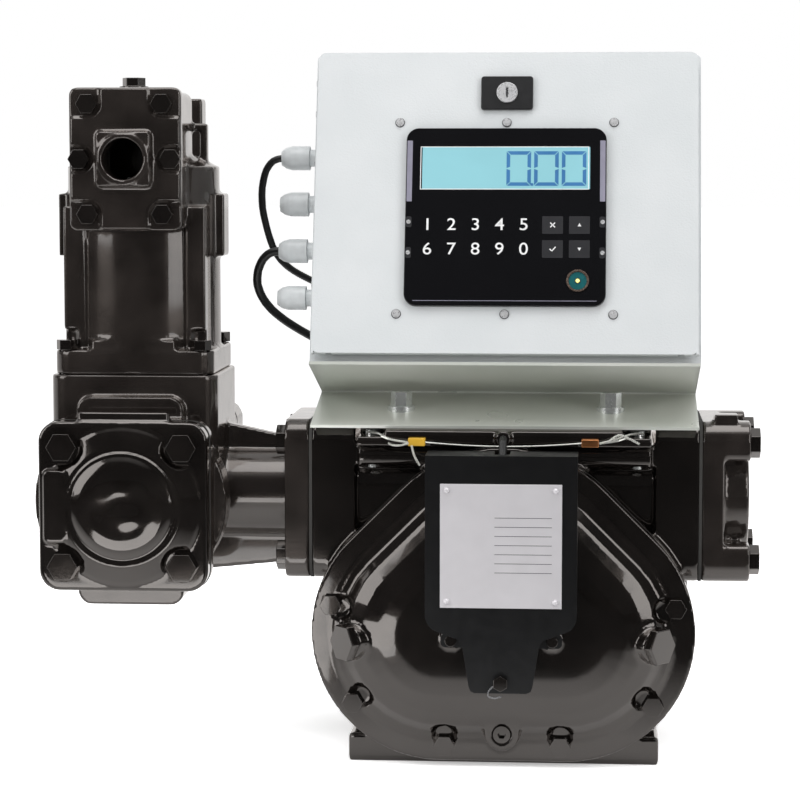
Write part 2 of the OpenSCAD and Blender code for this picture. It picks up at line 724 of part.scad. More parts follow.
// Register base: a casting on the housing pad, its front half sloped for the bracket
base_front = 76;
base_back = pad_d / 2;
wedge_back = -4;
wedge_front_z = top_z + base_floor_t;
function leg_z(y) = wedge_front_z + (y + bracket_front) * tan(leg_slope);
base_wall = 6;
lead_boss_t = 3.5;
base_gland_x = [-70, -45];
module register_base() color([0.09, 0.09, 0.09]) {
    difference() {
        union() {
            slab_x(-base_w / 2, base_w / 2) polygon([
                [-base_front, top_z], [-base_front, leg_z(-base_front)], [wedge_back, leg_z(wedge_back)],
                [wedge_back + base_wall, wedge_front_z], [base_back, wedge_front_z], [base_back, top_z]]);
            rod_y(0, lead_exit_z, 2 * lead_r, -base_front - lead_boss_t, -base_front + over);
        }
        slab_x(-base_w / 2 + 3 * base_wall, base_w / 2 - 3 * base_wall) polygon([
            [-base_front + base_wall, top_z - over], [-base_front + base_wall, wedge_front_z - base_wall],
            [base_back - base_wall, wedge_front_z - base_wall], [base_back - base_wall, top_z - over]]);
        for (p = base_places()) rod_z(p[0], p[1], base_screw_r, top_z - over, wedge_front_z + pad_t);
        for (s = [-1, 1])
            rod_z(s * bracket_bolt_x, bracket_bolt_y, ring_bolt_r, top_z - over, top_z + 2 * pad_t);
        for (s = [-1, 1])
            translate([s > 0 ? ear_wall_x : -ear_wall_x - base_w, -base_front - over, base_ear_z])
                cube([base_w, ear_d, 3 * pad_t]);
        for (x = base_gland_x)
            rod_y(x, base_gland_z, gland_stub_r, base_back - base_wall - over, base_back + over);
    }
}
base_gland_z = top_z + base_floor_t / 2;
base_ear_z = top_z + base_wall;
ear_wall_x = base_screw_x - 3 * base_screw_r;
ear_d = base_front + base_screw_front + 3 * base_screw_r + over;
function screw_seat(p) = p[1] < 0 ? base_ear_z : wedge_front_z;
gland_stub_r = 5;

module base_screws() color([0.55, 0.55, 0.56]) {
    for (p = base_places()) translate([p[0], p[1], screw_seat(p)])
        difference() {
            union() {
                cylinder(h = base_screw_r, r = base_screw_head_r);
                translate([0, 0, top_z - pad_t - screw_seat(p)])
                    cylinder(h = screw_seat(p) - top_z + pad_t, r = base_screw_r);
            }
            translate([-2 * base_screw_r, -base_screw_r / 6, base_screw_r / 2])
                cube([4 * base_screw_r, base_screw_r / 3, base_screw_r]);
        }
}

// Seal wires: one sags between the two seals in front of the base, two tie the front corner screws
wire_r = 0.5;
seal_d = lead_boss_t + 6 * wire_r;
wire_y = -base_front - lead_boss_t - 3 * wire_r;
wire_lift = 3.4;
wire_z = top_z + wire_lift;
wire_sag = 2.4;
seal_run = 30;
seal_x = base_screw_x - seal_run;
seal_l = 11;
wire_count = 12;
// Way of a seal wire's end from its corner screw on the base, outward, back and up
wire_tie = [[-2.6, -4.6, 7.5], [-4.5, -10, 7.5], [-6.5, -16, 7], [-7.5, -21.5, 6.4], [-12, -24, 5]];
module seal_wire() color([0.78, 0.78, 0.74]) {
    tube([for (i = [0:wire_count]) let (u = 2 * i / wire_count - 1)
        [u * (seal_x - seal_l / 2), wire_y, wire_z - wire_sag * (1 - u * u)]], wire_r, 6);
    for (s = [-1, 1])
        tube(concat([for (q = wire_tie)
            [s * (base_screw_x + q[0]), base_screw_front + q[1], top_z + q[2]]],
            [[s * (seal_x + seal_l), wire_y, wire_z + wire_r], [s * (seal_x + seal_l / 2), wire_y, wire_z]]),
            wire_r, 6);
}

module security_seals() color([0.85, 0.7, 0.2]) {
    for (s = [-1, 1]) translate([s * seal_x, -base_front - seal_d / 2, wire_z])
        cube([seal_l, seal_d, 10 * wire_r], center = true);
}

// Bracket: one sheet bent to a V that lies on the base and carries the tilted enclosure
box_front = 78;
box_z = 260;
module box_frame() {
    translate([0, -box_front, box_z]) rotate([-tilt, 0, 0]) children();
}
// Where the inner faces of the two legs meet: lower leg top and upper leg underside
lower_c = wedge_front_z + bracket_t / cos(leg_slope) + bracket_front * tan(leg_slope);
upper_c = box_z - bracket_t / cos(tilt) - box_front * tan(tilt);
fold_y = (upper_c - lower_c) / (tan(leg_slope) + tan(tilt));
fold_z = lower_c + fold_y * tan(leg_slope);
upper_leg = norm([fold_y + box_front, (fold_y + box_front) * tan(tilt)]) + 2 * over;
lower_leg = (fold_y + bracket_front) / cos(leg_slope);
module enclosure_bracket() color([0.62, 0.66, 0.62]) {
    difference() {
        slab_x(-bracket_w / 2, bracket_w / 2) {
            translate([fold_y, fold_z]) {
                rotate(180 + leg_slope) square([lower_leg, bracket_t]);
                rotate(180 - tilt) translate([0, -bracket_t]) square([upper_leg, bracket_t]);
                circle(bracket_t - run_gap);
            }
        }
        for (s = [-1, 1])
            rod_z(s * bracket_bolt_x, bracket_bolt_y, ring_bolt_r, top_z, top_z + 3 * base_floor_t);
    }
}

flange_bolt_r = 9;
module bracket_bolts() color([0.72, 0.74, 0.74]) {
    for (s = [-1, 1])
        translate([s * bracket_bolt_x, bracket_bolt_y, 0]) {
            z0 = leg_z(bracket_bolt_y) + bracket_t / cos(leg_slope);
            difference() {
                translate([0, 0, z0]) {
                    rod_z(0, 0, flange_bolt_r, -flange_bolt_r, bracket_t);
                    cylinder(h = ring_bolt_head + 3 * bracket_t, r = ring_bolt_af / sqrt(3), $fn = 6);
                }
                translate([0, 0, z0]) rotate([leg_slope, 0, 0])
                    translate([-2 * flange_bolt_r, -2 * flange_bolt_r, -3 * flange_bolt_r])
                        cube([4 * flange_bolt_r, 4 * flange_bolt_r, 3 * flange_bolt_r]);
            }
            translate([0, 0, top_z]) cylinder(h = z0 - top_z + over, r = ring_bolt_r);
        }
}

// Enclosure, drawn in its own frame: x across, y into the depth, z up the tilted door
mouth_w = 220;
mouth_h = 168;
mouth_lift = 2;
mouth_z = box_h / 2 + mouth_lift;
door_gasket_t = 2.8;
gasket_lap = 2;
neck_front = sheet_t + door_gasket_t;
door_z = 6;
pivot_y = 5.7;
rim_low = 6;
pivot_z = door_z + rim_low;
hinge_x = 112;
hinge_t = 2;
tab_r = 3.7;
hinge_pin_r = 2;
lock_z = 177.8;
gland_y = 55;
gland_z = 55;
gland_hole_r = 6.5;
module box_slab(y0, y1) {
    translate([0, y1, 0]) rotate([90, 0, 0]) linear_extrude(y1 - y0) children();
}
module enclosure_body() color([0.87, 0.88, 0.89]) box_frame() {
    difference() {
        union() {
            difference() {
                box_slab(door_d, box_d) translate([0, box_h / 2]) pane(box_w, box_h, 2 * sheet_t);
                box_slab(door_d + sheet_t, box_d - sheet_t) translate([0, box_h / 2])
                    pane(box_w - 2 * sheet_t, box_h - 2 * sheet_t, sheet_t);
            }
            box_slab(neck_front, door_d + over) translate([0, mouth_z])
                pane(mouth_w, mouth_h, 3 * sheet_t);
        }
        box_slab(neck_front - over, door_d + 2 * sheet_t) translate([0, mouth_z])
            pane(mouth_w - 2 * sheet_t, mouth_h - 2 * sheet_t, 2 * sheet_t);
        for (k = [0:3])
            translate([-box_w / 2 - over, gland_y, gland_z + k * gland_pitch]) rotate([0, 90, 0])
                cylinder(h = 4 * sheet_t, r = gland_hole_r);
    }
    for (s = [-1, 1])
        difference() {
            translate([s * hinge_x - hinge_t / 2, 0, 0]) {
                translate([0, pivot_y, pivot_z]) rotate([0, 90, 0]) cylinder(h = hinge_t, r = tab_r);
                translate([0, pivot_y, pivot_z - tab_r])
                    cube([hinge_t, door_d + over / 2 - pivot_y, 2 * tab_r]);
            }
            translate([s * hinge_x - hinge_t, pivot_y, pivot_z]) rotate([0, 90, 0])
                cylinder(h = 2 * hinge_t, r = hinge_pin_r + run_gap);
        }
}

// Door: a tray whose lower rim is shallow, so that it clears the body as it swings down
bezel_lap = 4;
cutout_w = display_w - 2 * bezel_lap;
cutout_h = display_h - 2 * bezel_lap;
door_corner_r = 5;
display_z = 95.1;
lock_barrel_r = 9;
stud_r = 2.6;
stud_x = 69;
stud_z = [158.5, 31.5];
function stud_places() = [for (x = [-1, 0, 1], z = stud_z) [x * stud_x, z]];
module enclosure_door() color([0.87, 0.88, 0.89]) box_frame() {
    difference() {
        box_slab(0, door_d - run_gap) translate([0, door_z + door_h / 2])
            pane(door_w, door_h, door_corner_r);
        box_slab(sheet_t, door_d + over) translate([0, door_z + door_h / 2])
            pane(door_w - 2 * sheet_t, door_h - 2 * sheet_t, door_corner_r - sheet_t);
        translate([-door_w, rim_low, 0]) cube([2 * door_w, door_d, pivot_z + tab_r]);
        for (s = [-1, 1]) translate([s * hinge_x - hinge_t, sheet_t, 0]) cube([2 * hinge_t, door_d, pivot_z]);
        box_slab(-over, 2 * sheet_t) translate([0, display_z]) square([cutout_w, cutout_h], center = true);
        translate([0, 2 * sheet_t, lock_z]) rotate([90, 0, 0]) cylinder(h = 4 * sheet_t, r = lock_barrel_r);
        translate([-door_w, pivot_y, pivot_z]) rotate([0, 90, 0]) cylinder(h = 2 * door_w, r = hinge_pin_r);
        for (p = stud_places()) translate([p[0], 2 * sheet_t, p[1]]) rotate([90, 0, 0])
            cylinder(h = 4 * sheet_t, r = stud_r / 2);
    }
    for (s = [-1, 1])
        difference() {
            translate([s * (door_w / 2 - sheet_t / 2) - sheet_t / 2, 0, pivot_z - rim_low])
                cube([sheet_t, door_d - run_gap, 2 * rim_low + 2 * over]);
            translate([s * door_w / 2 - 2 * sheet_t, pivot_y, pivot_z]) rotate([0, 90, 0])
                cylinder(h = 4 * sheet_t, r = hinge_pin_r);
            translate([s * door_w / 2 - 2 * sheet_t, rim_low, 0])
                cube([4 * sheet_t, door_d, pivot_z + tab_r]);
        }
}

module hinge_pins() color([0.7, 0.71, 0.72]) box_frame() {
    for (s = [-1, 1])
        translate([s > 0 ? hinge_x - hinge_t : -door_w / 2, pivot_y, pivot_z]) rotate([0, 90, 0])
            cylinder(h = door_w / 2 - hinge_x + hinge_t, r = hinge_pin_r);
}

module door_gasket() color([0.1, 0.1, 0.1]) box_frame() {
    difference() {
        box_slab(sheet_t, neck_front) translate([0, mouth_z])
            pane(mouth_w + 2 * gasket_lap, mouth_h + 2 * gasket_lap, 3 * sheet_t);
        box_slab(0, neck_front + over) translate([0, mouth_z])
            pane(mouth_w - 2 * gasket_lap, mouth_h - 2 * gasket_lap, 2 * sheet_t);
    }
}

lock_w = 33.6;
lock_h = 22.4;
lock_t = 3;
lock_corner_r = 2;
lock_core_r = 6.8;
lock_depth = 11;
cam_y = 14.2;
cam_t = 2;
cam_l = 20;
cam_w = 11;
cam_slant = 8;
module lock_housing() color([0.12, 0.12, 0.13]) box_frame() {
    difference() {
        union() {
            box_slab(-lock_t, 0) translate([0, lock_z]) pane(lock_w, lock_h, lock_corner_r);
            translate([0, lock_depth, lock_z]) rotate([90, 0, 0]) cylinder(h = lock_depth, r = lock_barrel_r);
        }
        translate([0, lock_depth + over, lock_z]) rotate([90, 0, 0])
            cylinder(h = lock_depth + lock_t + 2 * over, r = lock_core_r + run_gap);
    }
}

module lock_core() color([0.75, 0.76, 0.78]) box_frame() {
    difference() {
        translate([0, cam_y, lock_z]) rotate([90, 0, 0]) cylinder(h = cam_y + lock_t + over, r = lock_core_r);
        translate([-lock_core_r / 8, -lock_t - 2 * over, lock_z - lock_core_r / 2])
            cube([lock_core_r / 4, 2 * lock_t, lock_core_r]);
    }
    difference() {
        translate([-cam_l, cam_y, lock_z - cam_w / 2]) cube([cam_l, cam_t, cam_w]);
        translate([-2 * cam_l, cam_y - over, lock_z + lock_core_r / 2]) rotate([0, -cam_slant, 0])
            cube([2 * cam_l, cam_t + 2 * over, lock_core_r]);
    }
    translate([0, cam_y + cam_t, lock_z]) rotate([90, 0, 0]) cylinder(h = cam_t, r = lock_core_r);
}

bezel_t = 4;
bezel_r = 8;
panel_t = 0.8;
window_margin = 10.5;
window_w = display_w - 2 * window_margin;
window_h = 28;
window_z = 127;
reader_x = 46.4;
reader_z = 52.6;
reader_r = 7.2;
case_d = 14;
module display_housing() color([0.05, 0.05, 0.06]) box_frame() {
    difference() {
        union() {
            box_slab(-bezel_t + panel_t, 0) translate([0, display_z])
                pane(display_w, display_h, bezel_r);
            box_slab(-over, case_d) translate([0, display_z])
                square([cutout_w - over, cutout_h - over], center = true);
        }
        box_slab(-bezel_t, -bezel_t + 2 * panel_t) translate([0, window_z])
            square([window_w, window_h], center = true);
        translate([reader_x, 0, reader_z]) rotate([90, 0, 0]) cylinder(h = bezel_t + over, r = reader_r);
    }
}

module front_panel() color([0.02, 0.02, 0.03]) box_frame() {
    difference() {
        box_slab(-bezel_t, -bezel_t + panel_t) translate([0, display_z])
            pane(display_w - over, display_h - over, bezel_r - over / 2);
        box_slab(-bezel_t - over, 0) translate([0, window_z]) square([window_w, window_h], center = true);
        translate([reader_x, 0, reader_z]) rotate([90, 0, 0]) cylinder(h = bezel_t + over, r = reader_r);
    }
}

module display_window() color([0.55, 0.84, 0.88]) box_frame()
    box_slab(-bezel_t, -bezel_t + 2 * panel_t) translate([0, window_z])
        square([window_w, window_h], center = true);

module key_reader() color([0.7, 0.72, 0.7]) box_frame() {
    translate([reader_x, 0, reader_z]) rotate([90, 0, 0]) {
        cylinder(h = bezel_t, r = reader_r);
        difference() {
            cylinder(h = bezel_t + over, r = reader_r);
            translate([0, 0, bezel_t]) cylinder(h = 2 * over, r = reader_r - over);
        }
        cylinder(h = bezel_t + over / 2, r = reader_r / 4);
    }
}

module door_screws() color([0.75, 0.76, 0.76]) box_frame() {
    for (p = stud_places()) translate([p[0], 0, p[1]]) rotate([90, 0, 0]) {
        cylinder(h = stud_r / 2, r = stud_r);
        translate([0, 0, -2 * sheet_t]) cylinder(h = 3 * sheet_t, r = stud_r / 2);
    }
}

board_w = 150;
board_h = 110;
board_t = 1.6;
standoff_h = 10;
standoff_r = 3;
standoff_x = board_w / 2 - 2 * standoff_r;
standoff_z = board_h / 2 - 2 * standoff_r;
board_parts = [[-50, 25, 40, 20, 12], [10, 30, 50, 26, 9], [-45, -25, 26, 26, 6], [20, -30, 60, 14, 14]];
module circuit_board() color([0.1, 0.35, 0.2]) box_frame() {
    y0 = box_d - sheet_t - standoff_h;
    box_slab(y0 - board_t, y0) translate([0, mouth_z]) square([board_w, board_h], center = true);
    for (x = [-1, 1], z = [-1, 1])
        translate([x * standoff_x, box_d - sheet_t, mouth_z + z * standoff_z])
            rotate([90, 0, 0]) cylinder(h = standoff_h, r = standoff_r);
    for (b = board_parts)
        translate([b[0], y0 - board_t - b[4], mouth_z + b[1]]) cube([b[2], b[4], b[3]]);
}

// A cable gland stands along +Z on a wall at z = 0: body below and through, dome nut on top
gland_af = 15;
gland_neck_share = 0.38;
gland_hex_h = 8;
gland_nut_r = 8;
gland_nut_h = 19;
gland_bore_r = 3;
nut_rise_shares = [0.62, 0.84];
nut_r_shares = [0.86, 0.6];
module gland_body(r) {
    cylinder(h = gland_hex_h / 2, r = gland_af / sqrt(3), $fn = 6);
    cylinder(h = gland_hex_h, r = gland_af * gland_neck_share);
    translate([0, 0, -4 * sheet_t]) cylinder(h = 4 * sheet_t, r = r);
}
module gland_nut(bore_r) {
    translate([0, 0, gland_hex_h]) difference() {
        rotate_extrude() polygon([
            [0, 0], [gland_nut_r, 0], [gland_nut_r, gland_nut_h * nut_rise_shares[0]],
            [gland_nut_r * nut_r_shares[0], gland_nut_h * nut_rise_shares[1]],
            [gland_nut_r * nut_r_shares[1], gland_nut_h], [0, gland_nut_h]]);
        translate([0, 0, gland_nut_h - gland_hex_h]) cylinder(h = 2 * gland_hex_h, r = bore_r);
    }
}
module box_gland_frame(k) {
    box_frame()
        translate([-box_w / 2, gland_y, gland_z + k * gland_pitch]) rotate([0, -90, 0]) children();
}
module base_gland_frame(x) {
    translate([x, base_back, base_gland_z]) rotate([-90, 0, 0]) children();
}
base_gland_share = 0.7;
module gland_bodies() color([0.78, 0.79, 0.8]) {
    for (k = [0:3]) box_gland_frame(k) gland_body(gland_hole_r);
    for (x = base_gland_x)
        base_gland_frame(x) scale(base_gland_share) gland_body(gland_stub_r / base_gland_share);
}
module gland_nuts() color([0.8, 0.81, 0.82]) {
    for (k = [0:3]) box_gland_frame(k) gland_nut(gland_bore_r);
    for (x = base_gland_x)
        base_gland_frame(x) scale(base_gland_share) gland_nut(gland_bore_r / base_gland_share);
}
module gland_locknuts() color([0.78, 0.79, 0.8]) {
    for (k = [0:3]) box_gland_frame(k) translate([0, 0, -sheet_t - 3 * over]) difference() {
        cylinder(h = 3 * over, r = (gland_af + 2 * over) / sqrt(3), $fn = 6);
        translate([0, 0, -over]) cylinder(h = 5 * over, r = gland_hole_r);
    }
}

// Cable routes: out of an enclosure gland, down and round behind, into a gland on the base
cable_one_r = 2.5;
cable_two_r = 3;
cable_one_route = [
    [-147, 17.6, 389.2], [-152, 17.6, 389.2], [-158, 18, 388], [-163, 18, 382], [-166, 19, 370],
    [-166, 20, 356], [-163, 22, 342], [-160, 26, 330], [-155, 33, 320], [-148, 43, 313],
    [-139, 55, 307], [-128, 67, 301], [-114, 77, 293], [-100, 84, 282], [-86, 89, 269],
    [-73, 93, 254], [-61, 96, 239], [-52, 98, 226], [-47, 97, 216], [-45, 92, 211.5], [-45, 86, 211.5],
    [-45, 77.4, 211.5]
];
cable_two_route = [
    [-147, -0.6, 327.8], [-152, -0.6, 327.8], [-158, 0, 327], [-163, 1, 323], [-167, 3, 315],
    [-168, 6, 305], [-165, 11, 296], [-160, 18, 288], [-152, 28, 280], [-143, 39, 273],
    [-133, 51, 266], [-121, 63, 259], [-108, 74, 251], [-95, 83, 242], [-84, 89, 232],
    [-75, 92, 222], [-70, 91, 214], [-70, 85, 211.5], [-70, 77.4, 211.5]
];
module cable_one() color([0.04, 0.04, 0.04]) tube(cable_one_route, cable_one_r, 12);
module cable_two() color([0.04, 0.04, 0.04]) tube(cable_two_route, cable_two_r, 12);

// Strainer: barrel along the front-to-back axis, neck to the meter, stub up to the air eliminator
barrel_front = 82;
strainer_lip = 13;
strainer_corner_r = 13;
cover_pitch = 76.5;
shoulder_back = 46;
barrel_back = 50;
inlet_face = 64;
neck_flange_t = 16;
neck_end = neck_face + neck_flange_t;
web_t = 12;
web_low = [54, 47];
web_high = [51, 36];
stub_w = 109;
stub_d = 102;
hump = [69, 67.5, 30];
hump_r = 9;
tower_y = -5;
stub_bore_r = 38;
module strainer_body() color([0.09, 0.09, 0.09]) {
    difference() {
        union() {
            slab_y(-barrel_front + gasket_t, -barrel_front + gasket_t + strainer_lip)
                translate([-strainer_x, port_z]) pane(cover_side, cover_side, strainer_corner_r);
            rod_y(-strainer_x, port_z, shoulder_r, -barrel_front + strainer_lip, -shoulder_back);
            rod_y(-strainer_x, port_z, barrel_r, -shoulder_back - over, barrel_back + over);
            slab_y(barrel_back, inlet_face) translate([-strainer_x, port_z])
                pane(port_side, port_side, port_turn_r);
            rod_x(0, port_z, neck_r, -strainer_x, -neck_face - over);
            slab_x(-neck_end, -neck_face) translate([0, port_z])
                pane(port_side, port_side, port_turn_r);
            slab_y(-web_t / 2, web_t / 2) polygon([
                [-strainer_x + neck_r, port_z - web_low[0]], [-neck_end, port_z - web_low[1]],
                [-neck_end, port_z + web_high[1]], [-strainer_x + neck_r, port_z + web_high[0]]]);
            translate([-strainer_x, tower_y, port_z]) linear_extrude(tower_z - port_z)
                pane(stub_w, stub_d, port_turn_r);
            slab_y(-barrel_front + strainer_lip, -hump[2]) translate([-strainer_x, port_z])
                pane(hump[0], 2 * hump[1], hump_r);
        }
        rod_y(-strainer_x, port_z, barrel_bore_r, -barrel_front - over, barrel_back - 2 * bolt_head);
        rod_y(-strainer_x, port_z, port_bore_r, 0, inlet_face + over);
        rod_x(0, port_z, port_bore_r, -strainer_x, -neck_face + over);
        rod_z(-strainer_x, tower_y, stub_bore_r, port_z, tower_z + over);
        for (p = corners(cover_pitch))
            rod_y(-strainer_x + p[0], port_z + p[1], bolt_r, -barrel_front - over,
                -barrel_front + strainer_lip - over);
        for (p = corners(port_pitch)) {
            rod_x(p[0], port_z + p[1], bolt_r, -neck_end - over, -neck_face + over);
            rod_y(-strainer_x + p[0], port_z + p[1], bolt_r, barrel_back + over, inlet_face + over);
        }
        for (p = tower_places())
            rod_z(p[0], p[1], tower_bolt_r, tower_z - tap_depth, tower_z + over);
    }
}
tower_bolt_pitch = 88;
tower_bolt_r = 4;
tower_bolt_af = 12;
tower_bolt_head = 6.5;
function tower_places() =
    [for (p = corners(tower_bolt_pitch)) [p[0] - strainer_x, p[1] + tower_y]];

cover_disc_r = 51;
cover_step = 3;
disc_shares = [1, 0.97, 0.74, 0.7, 0.67, 0.63, 0.55, 0.4, 0.2, 0];
disc_steps = [0, 0.4, 1.9, 1.9, 1.3, 1.9, 2.6, 3.2, 3.45, 3.5];
cover_bar = [14, 47, 11];
pad_w = 58;
spot_r = 13;
module strainer_cover() color([0.09, 0.09, 0.09]) {
    y1 = barrel_front + cover_t;
    difference() {
        union() {
            slab_y(-y1, -barrel_front) translate([-strainer_x, port_z])
                pane(cover_side, cover_side, strainer_corner_r);
            translate([-strainer_x, -y1, port_z]) rotate([90, 0, 0]) rotate_extrude() polygon(concat(
                [[0, -over], [cover_disc_r, -over]],
                [for (k = [0:len(disc_shares) - 1])
                    [cover_disc_r * disc_shares[k], cover_step * disc_steps[k]]]));
            slab_y(-y1 - cover_step * disc_steps[2], -y1)
                translate([-strainer_x - cover_side / 2 + cover_bar[2], port_z])
                    pane(cover_bar[0], cover_bar[1], cover_bar[0] / 4);
            slab_y(-y1 + cover_step, -barrel_front) translate([-strainer_x, port_z + cover_side / 2])
                square([pad_w, 4 * cover_step], center = true);
        }
        for (p = corners(cover_pitch)) {
            rod_y(-strainer_x + p[0], port_z + p[1], spot_r, -y1 - 4 * cover_step, -y1);
            rod_y(-strainer_x + p[0], port_z + p[1], bolt_r, -y1 - over, -barrel_front + over);
        }
    }
}

basket_r = 38;
basket_wall = 1.5;
basket_room = 2;
basket_l = barrel_front + barrel_back - 2 * bolt_head - basket_room;
slot_w = 4;
slot_share = 0.8;
module strainer_basket() color([0.7, 0.71, 0.72]) {
    y0 = -barrel_front;
    difference() {
        rod_y(-strainer_x, port_z, basket_r, y0, y0 + basket_l);
        rod_y(-strainer_x, port_z, basket_r - basket_wall, y0 + basket_wall, y0 + basket_l + over);
        for (a = [0:20:160])
            translate([-strainer_x, y0 + basket_l / 2, port_z]) rotate([0, a, 0])
                cube([slot_w, basket_l * slot_share, 3 * basket_r], center = true);
    }
}

module strainer_bolts() color([0.13, 0.13, 0.13]) {
    for (p = corners(cover_pitch))
        translate([p[0] - strainer_x, -barrel_front - cover_t, port_z + p[1]]) rotate([90, 0, 0])
            hex_bolt(bolt_r, bolt_af, bolt_head, cover_t + strainer_lip - over);
    for (p = tower_places())
        translate([p[0], p[1], tower_z + tower_flange_t])
            hex_bolt(tower_bolt_r, tower_bolt_af, tower_bolt_head, tower_flange_t + port_t / 2);
}

companion_t = 14;
hub_l = 17;
post_w = 25;
post_r = 5;
hub_flange_r = 40;
hub_end_r = 37;
lug_w = 15;
module companion_flange() {
    difference() {
        union() {
            linear_extrude(companion_t) pane(port_side, port_side, port_turn_r);
            translate([0, 0, companion_t - over])
                cylinder(h = hub_l + over, r1 = hub_flange_r, r2 = hub_end_r);
            linear_extrude(companion_t + hub_l) intersection() {
                pane(port_side, port_side, port_turn_r);
                for (p = corners(port_side - post_w))
                    translate(p) pane(post_w, post_w, post_r);
            }
        }
        translate([0, 0, -over]) cylinder(h = companion_t + hub_l + 2 * over, r = port_bore_r);
        rod_z(0, 0, socket_r, companion_t + hub_l - socket_l, companion_t + hub_l + over);
        for (p = corners(port_pitch)) rod_z(p[0], p[1], bolt_r, -over, companion_t + hub_l + over);
    }
}

module outlet_flange() color([0.11, 0.11, 0.11]) {
    translate([neck_face, 0, port_z]) rotate([90, 0, 90]) companion_flange();
    translate([neck_face + lug_w / 2, (post_w - port_side - lug_w) / 2, port_z + port_side / 2 - over])
        cube([lug_w, lug_w, lug_w / 3 + over]);
}

module inlet_flange() color([0.11, 0.11, 0.11])
    translate([-strainer_x, inlet_face, port_z]) rotate([-90, 0, 0]) companion_flange();

module flange_bolts() color([0.14, 0.14, 0.14]) {
    seat = companion_t + hub_l;
    for (p = corners(port_pitch)) {
        translate([neck_face + seat, p[0], port_z + p[1]]) rotate([0, 90, 0])
            hex_bolt(bolt_r, bolt_af, bolt_head, seat + pipe_gasket_t + port_t / 2);
        translate([-neck_end, p[0], port_z + p[1]]) rotate([0, -90, 0])
            hex_bolt(bolt_r, bolt_af, bolt_head, neck_flange_t + pipe_gasket_t + port_t / 2);
        translate([-strainer_x + p[0], inlet_face + seat, port_z + p[1]]) rotate([-90, 0, 0])
            hex_bolt(bolt_r, bolt_af, bolt_head, seat + inlet_face - barrel_back - 2 * over);
    }
}

// Air eliminator: tapered pot, vent head in front of its top, lugs, ribs and a rear pillar
tower_flange_t = 16;
tower_flange_w = 104;
tower_flange_d = 100;
pot_base_z = tower_z + tower_flange_t;
pot_top_z = tower_z + pot_h;
head_z = 343;
head_front = 66;
head_back = 14;
lug_z = [325, 366];
lug_t = 24;
lug_reach = 55;
rib_w = 13;
pot_dome_r = 90;
pot_dome_drop = 75;
head_edge = 2;
head_corner_r = 6;
rib_x = 40;
rib_y = -40;
pillar = [11, 20, 45];
pillar_x = 29;
pillar_y = 25;
raised_w = 55;
vent_rib = [8, 5, 8];
vent_rib_z = 412;
vent_rib_y = -16;
module tower_body() color([0.09, 0.09, 0.09]) {
    difference() {
        union() {
            translate([-strainer_x, tower_y, tower_z]) {
                linear_extrude(tower_flange_t) pane(tower_flange_w, tower_flange_d, port_turn_r);
                linear_extrude(tower_flange_t + bolt_head)
                    square([raised_w, tower_flange_d - 2 * over], center = true);
                cylinder(h = pot_h, r1 = pot_foot_r - 3 * over, r2 = pot_top_r);
                translate([0, 0, pot_h - over]) rotate_extrude() intersection() {
                    translate([0, -pot_dome_drop]) circle(pot_dome_r);
                    square([pot_top_r, pot_top_r]);
                }
            }
            for (s = [-1, 1]) translate([-strainer_x + s * rib_x - rib_w / 2, rib_y - rib_w / 2, pot_base_z])
                cube([rib_w, 2 * rib_w, pot_h - tower_flange_t - 2 * rib_w]);
            translate([-strainer_x - lug_reach, tower_y - lug_t / 2, lug_z[0]])
                cube([2 * lug_reach, lug_t, lug_z[1] - lug_z[0]]);
            slab_y(vent_rib_y, vent_rib_y + vent_rib[2]) translate([-strainer_x + head_w / 2, 0]) {
                translate([-vent_rib[0], vent_rib_z - vent_rib[1]]) square([2 * vent_rib[0], vent_rib[1]]);
                translate([vent_rib[0] - vent_rib[1], pot_top_z])
                    square([vent_rib[1], vent_rib_z - pot_top_z]);
            }
            slab_y(-head_front, -head_back) translate([-strainer_x, head_z + head_h / 2])
                pane(head_w - 2 * head_edge, head_h - 2 * head_edge, head_corner_r);
            translate([-strainer_x + pillar_x - pillar[0] / 2, pillar_y, pot_top_z - pillar[1]])
                cube([pillar[0], pillar[1], pillar[1] + pillar[2]]);
        }
        translate([-strainer_x, tower_y, tower_z - over])
            cylinder(h = pot_h - pot_wall, r = pot_top_r - pot_wall - 2 * over);
        slab_y(-head_front - over, -head_back - pot_wall) translate([-strainer_x, head_z + head_h / 2])
            pane(head_w - 4 * pot_wall - 2 * over, head_h - 5 * pot_wall, head_corner_r);
        for (p = tower_places()) {
            rod_z(p[0], p[1], tower_bolt_r, tower_z - over, pot_base_z + over);
            rod_z(p[0], p[1], tower_bolt_af / sqrt(3) + over, pot_base_z, pot_base_z + 2 * tower_bolt_head);
        }
        for (p = vent_places())
            rod_y(p[0], p[1], vent_bolt_r, -head_front - over, -head_front + tap_short);
        rod_x(arm_pivot_y, arm_pivot_z, arm_pin_r + run_gap, -strainer_x - arm_half - 2 * pot_wall,
            -strainer_x + arm_half + 2 * pot_wall);
        rod_z(-strainer_x, -(head_front + head_back) / 2, plug_thread_r, head_z + head_h - 2 * pot_wall,
            head_z + head_h + over);
    }
}
tap_short = 14;
vent_bolt_r = 3.5;
vent_bolt_x = 24;
vent_bolt_bulge = 5.3;
vent_bolt_af = 12;
vent_bolt_head = 5;
vent_bolt_rows = [35, 0, -35];
function vent_places() = [for (x = [-1, 1], z = vent_bolt_rows)
    [-strainer_x + x * (vent_bolt_x + (z == 0 ? vent_bolt_bulge : 0)), head_z + head_h / 2 + z]];
vent_cover_t = 12;
vent_boss = 35;
vent_relief_t = 2;
vent_grip = vent_cover_t - vent_relief_t + tap_short - over;
vent_turn_r = 5;
vent_boss_t = 7;
vent_bore_r = 13;
vent_ring_r = 16;
vent_pad_r = 9;
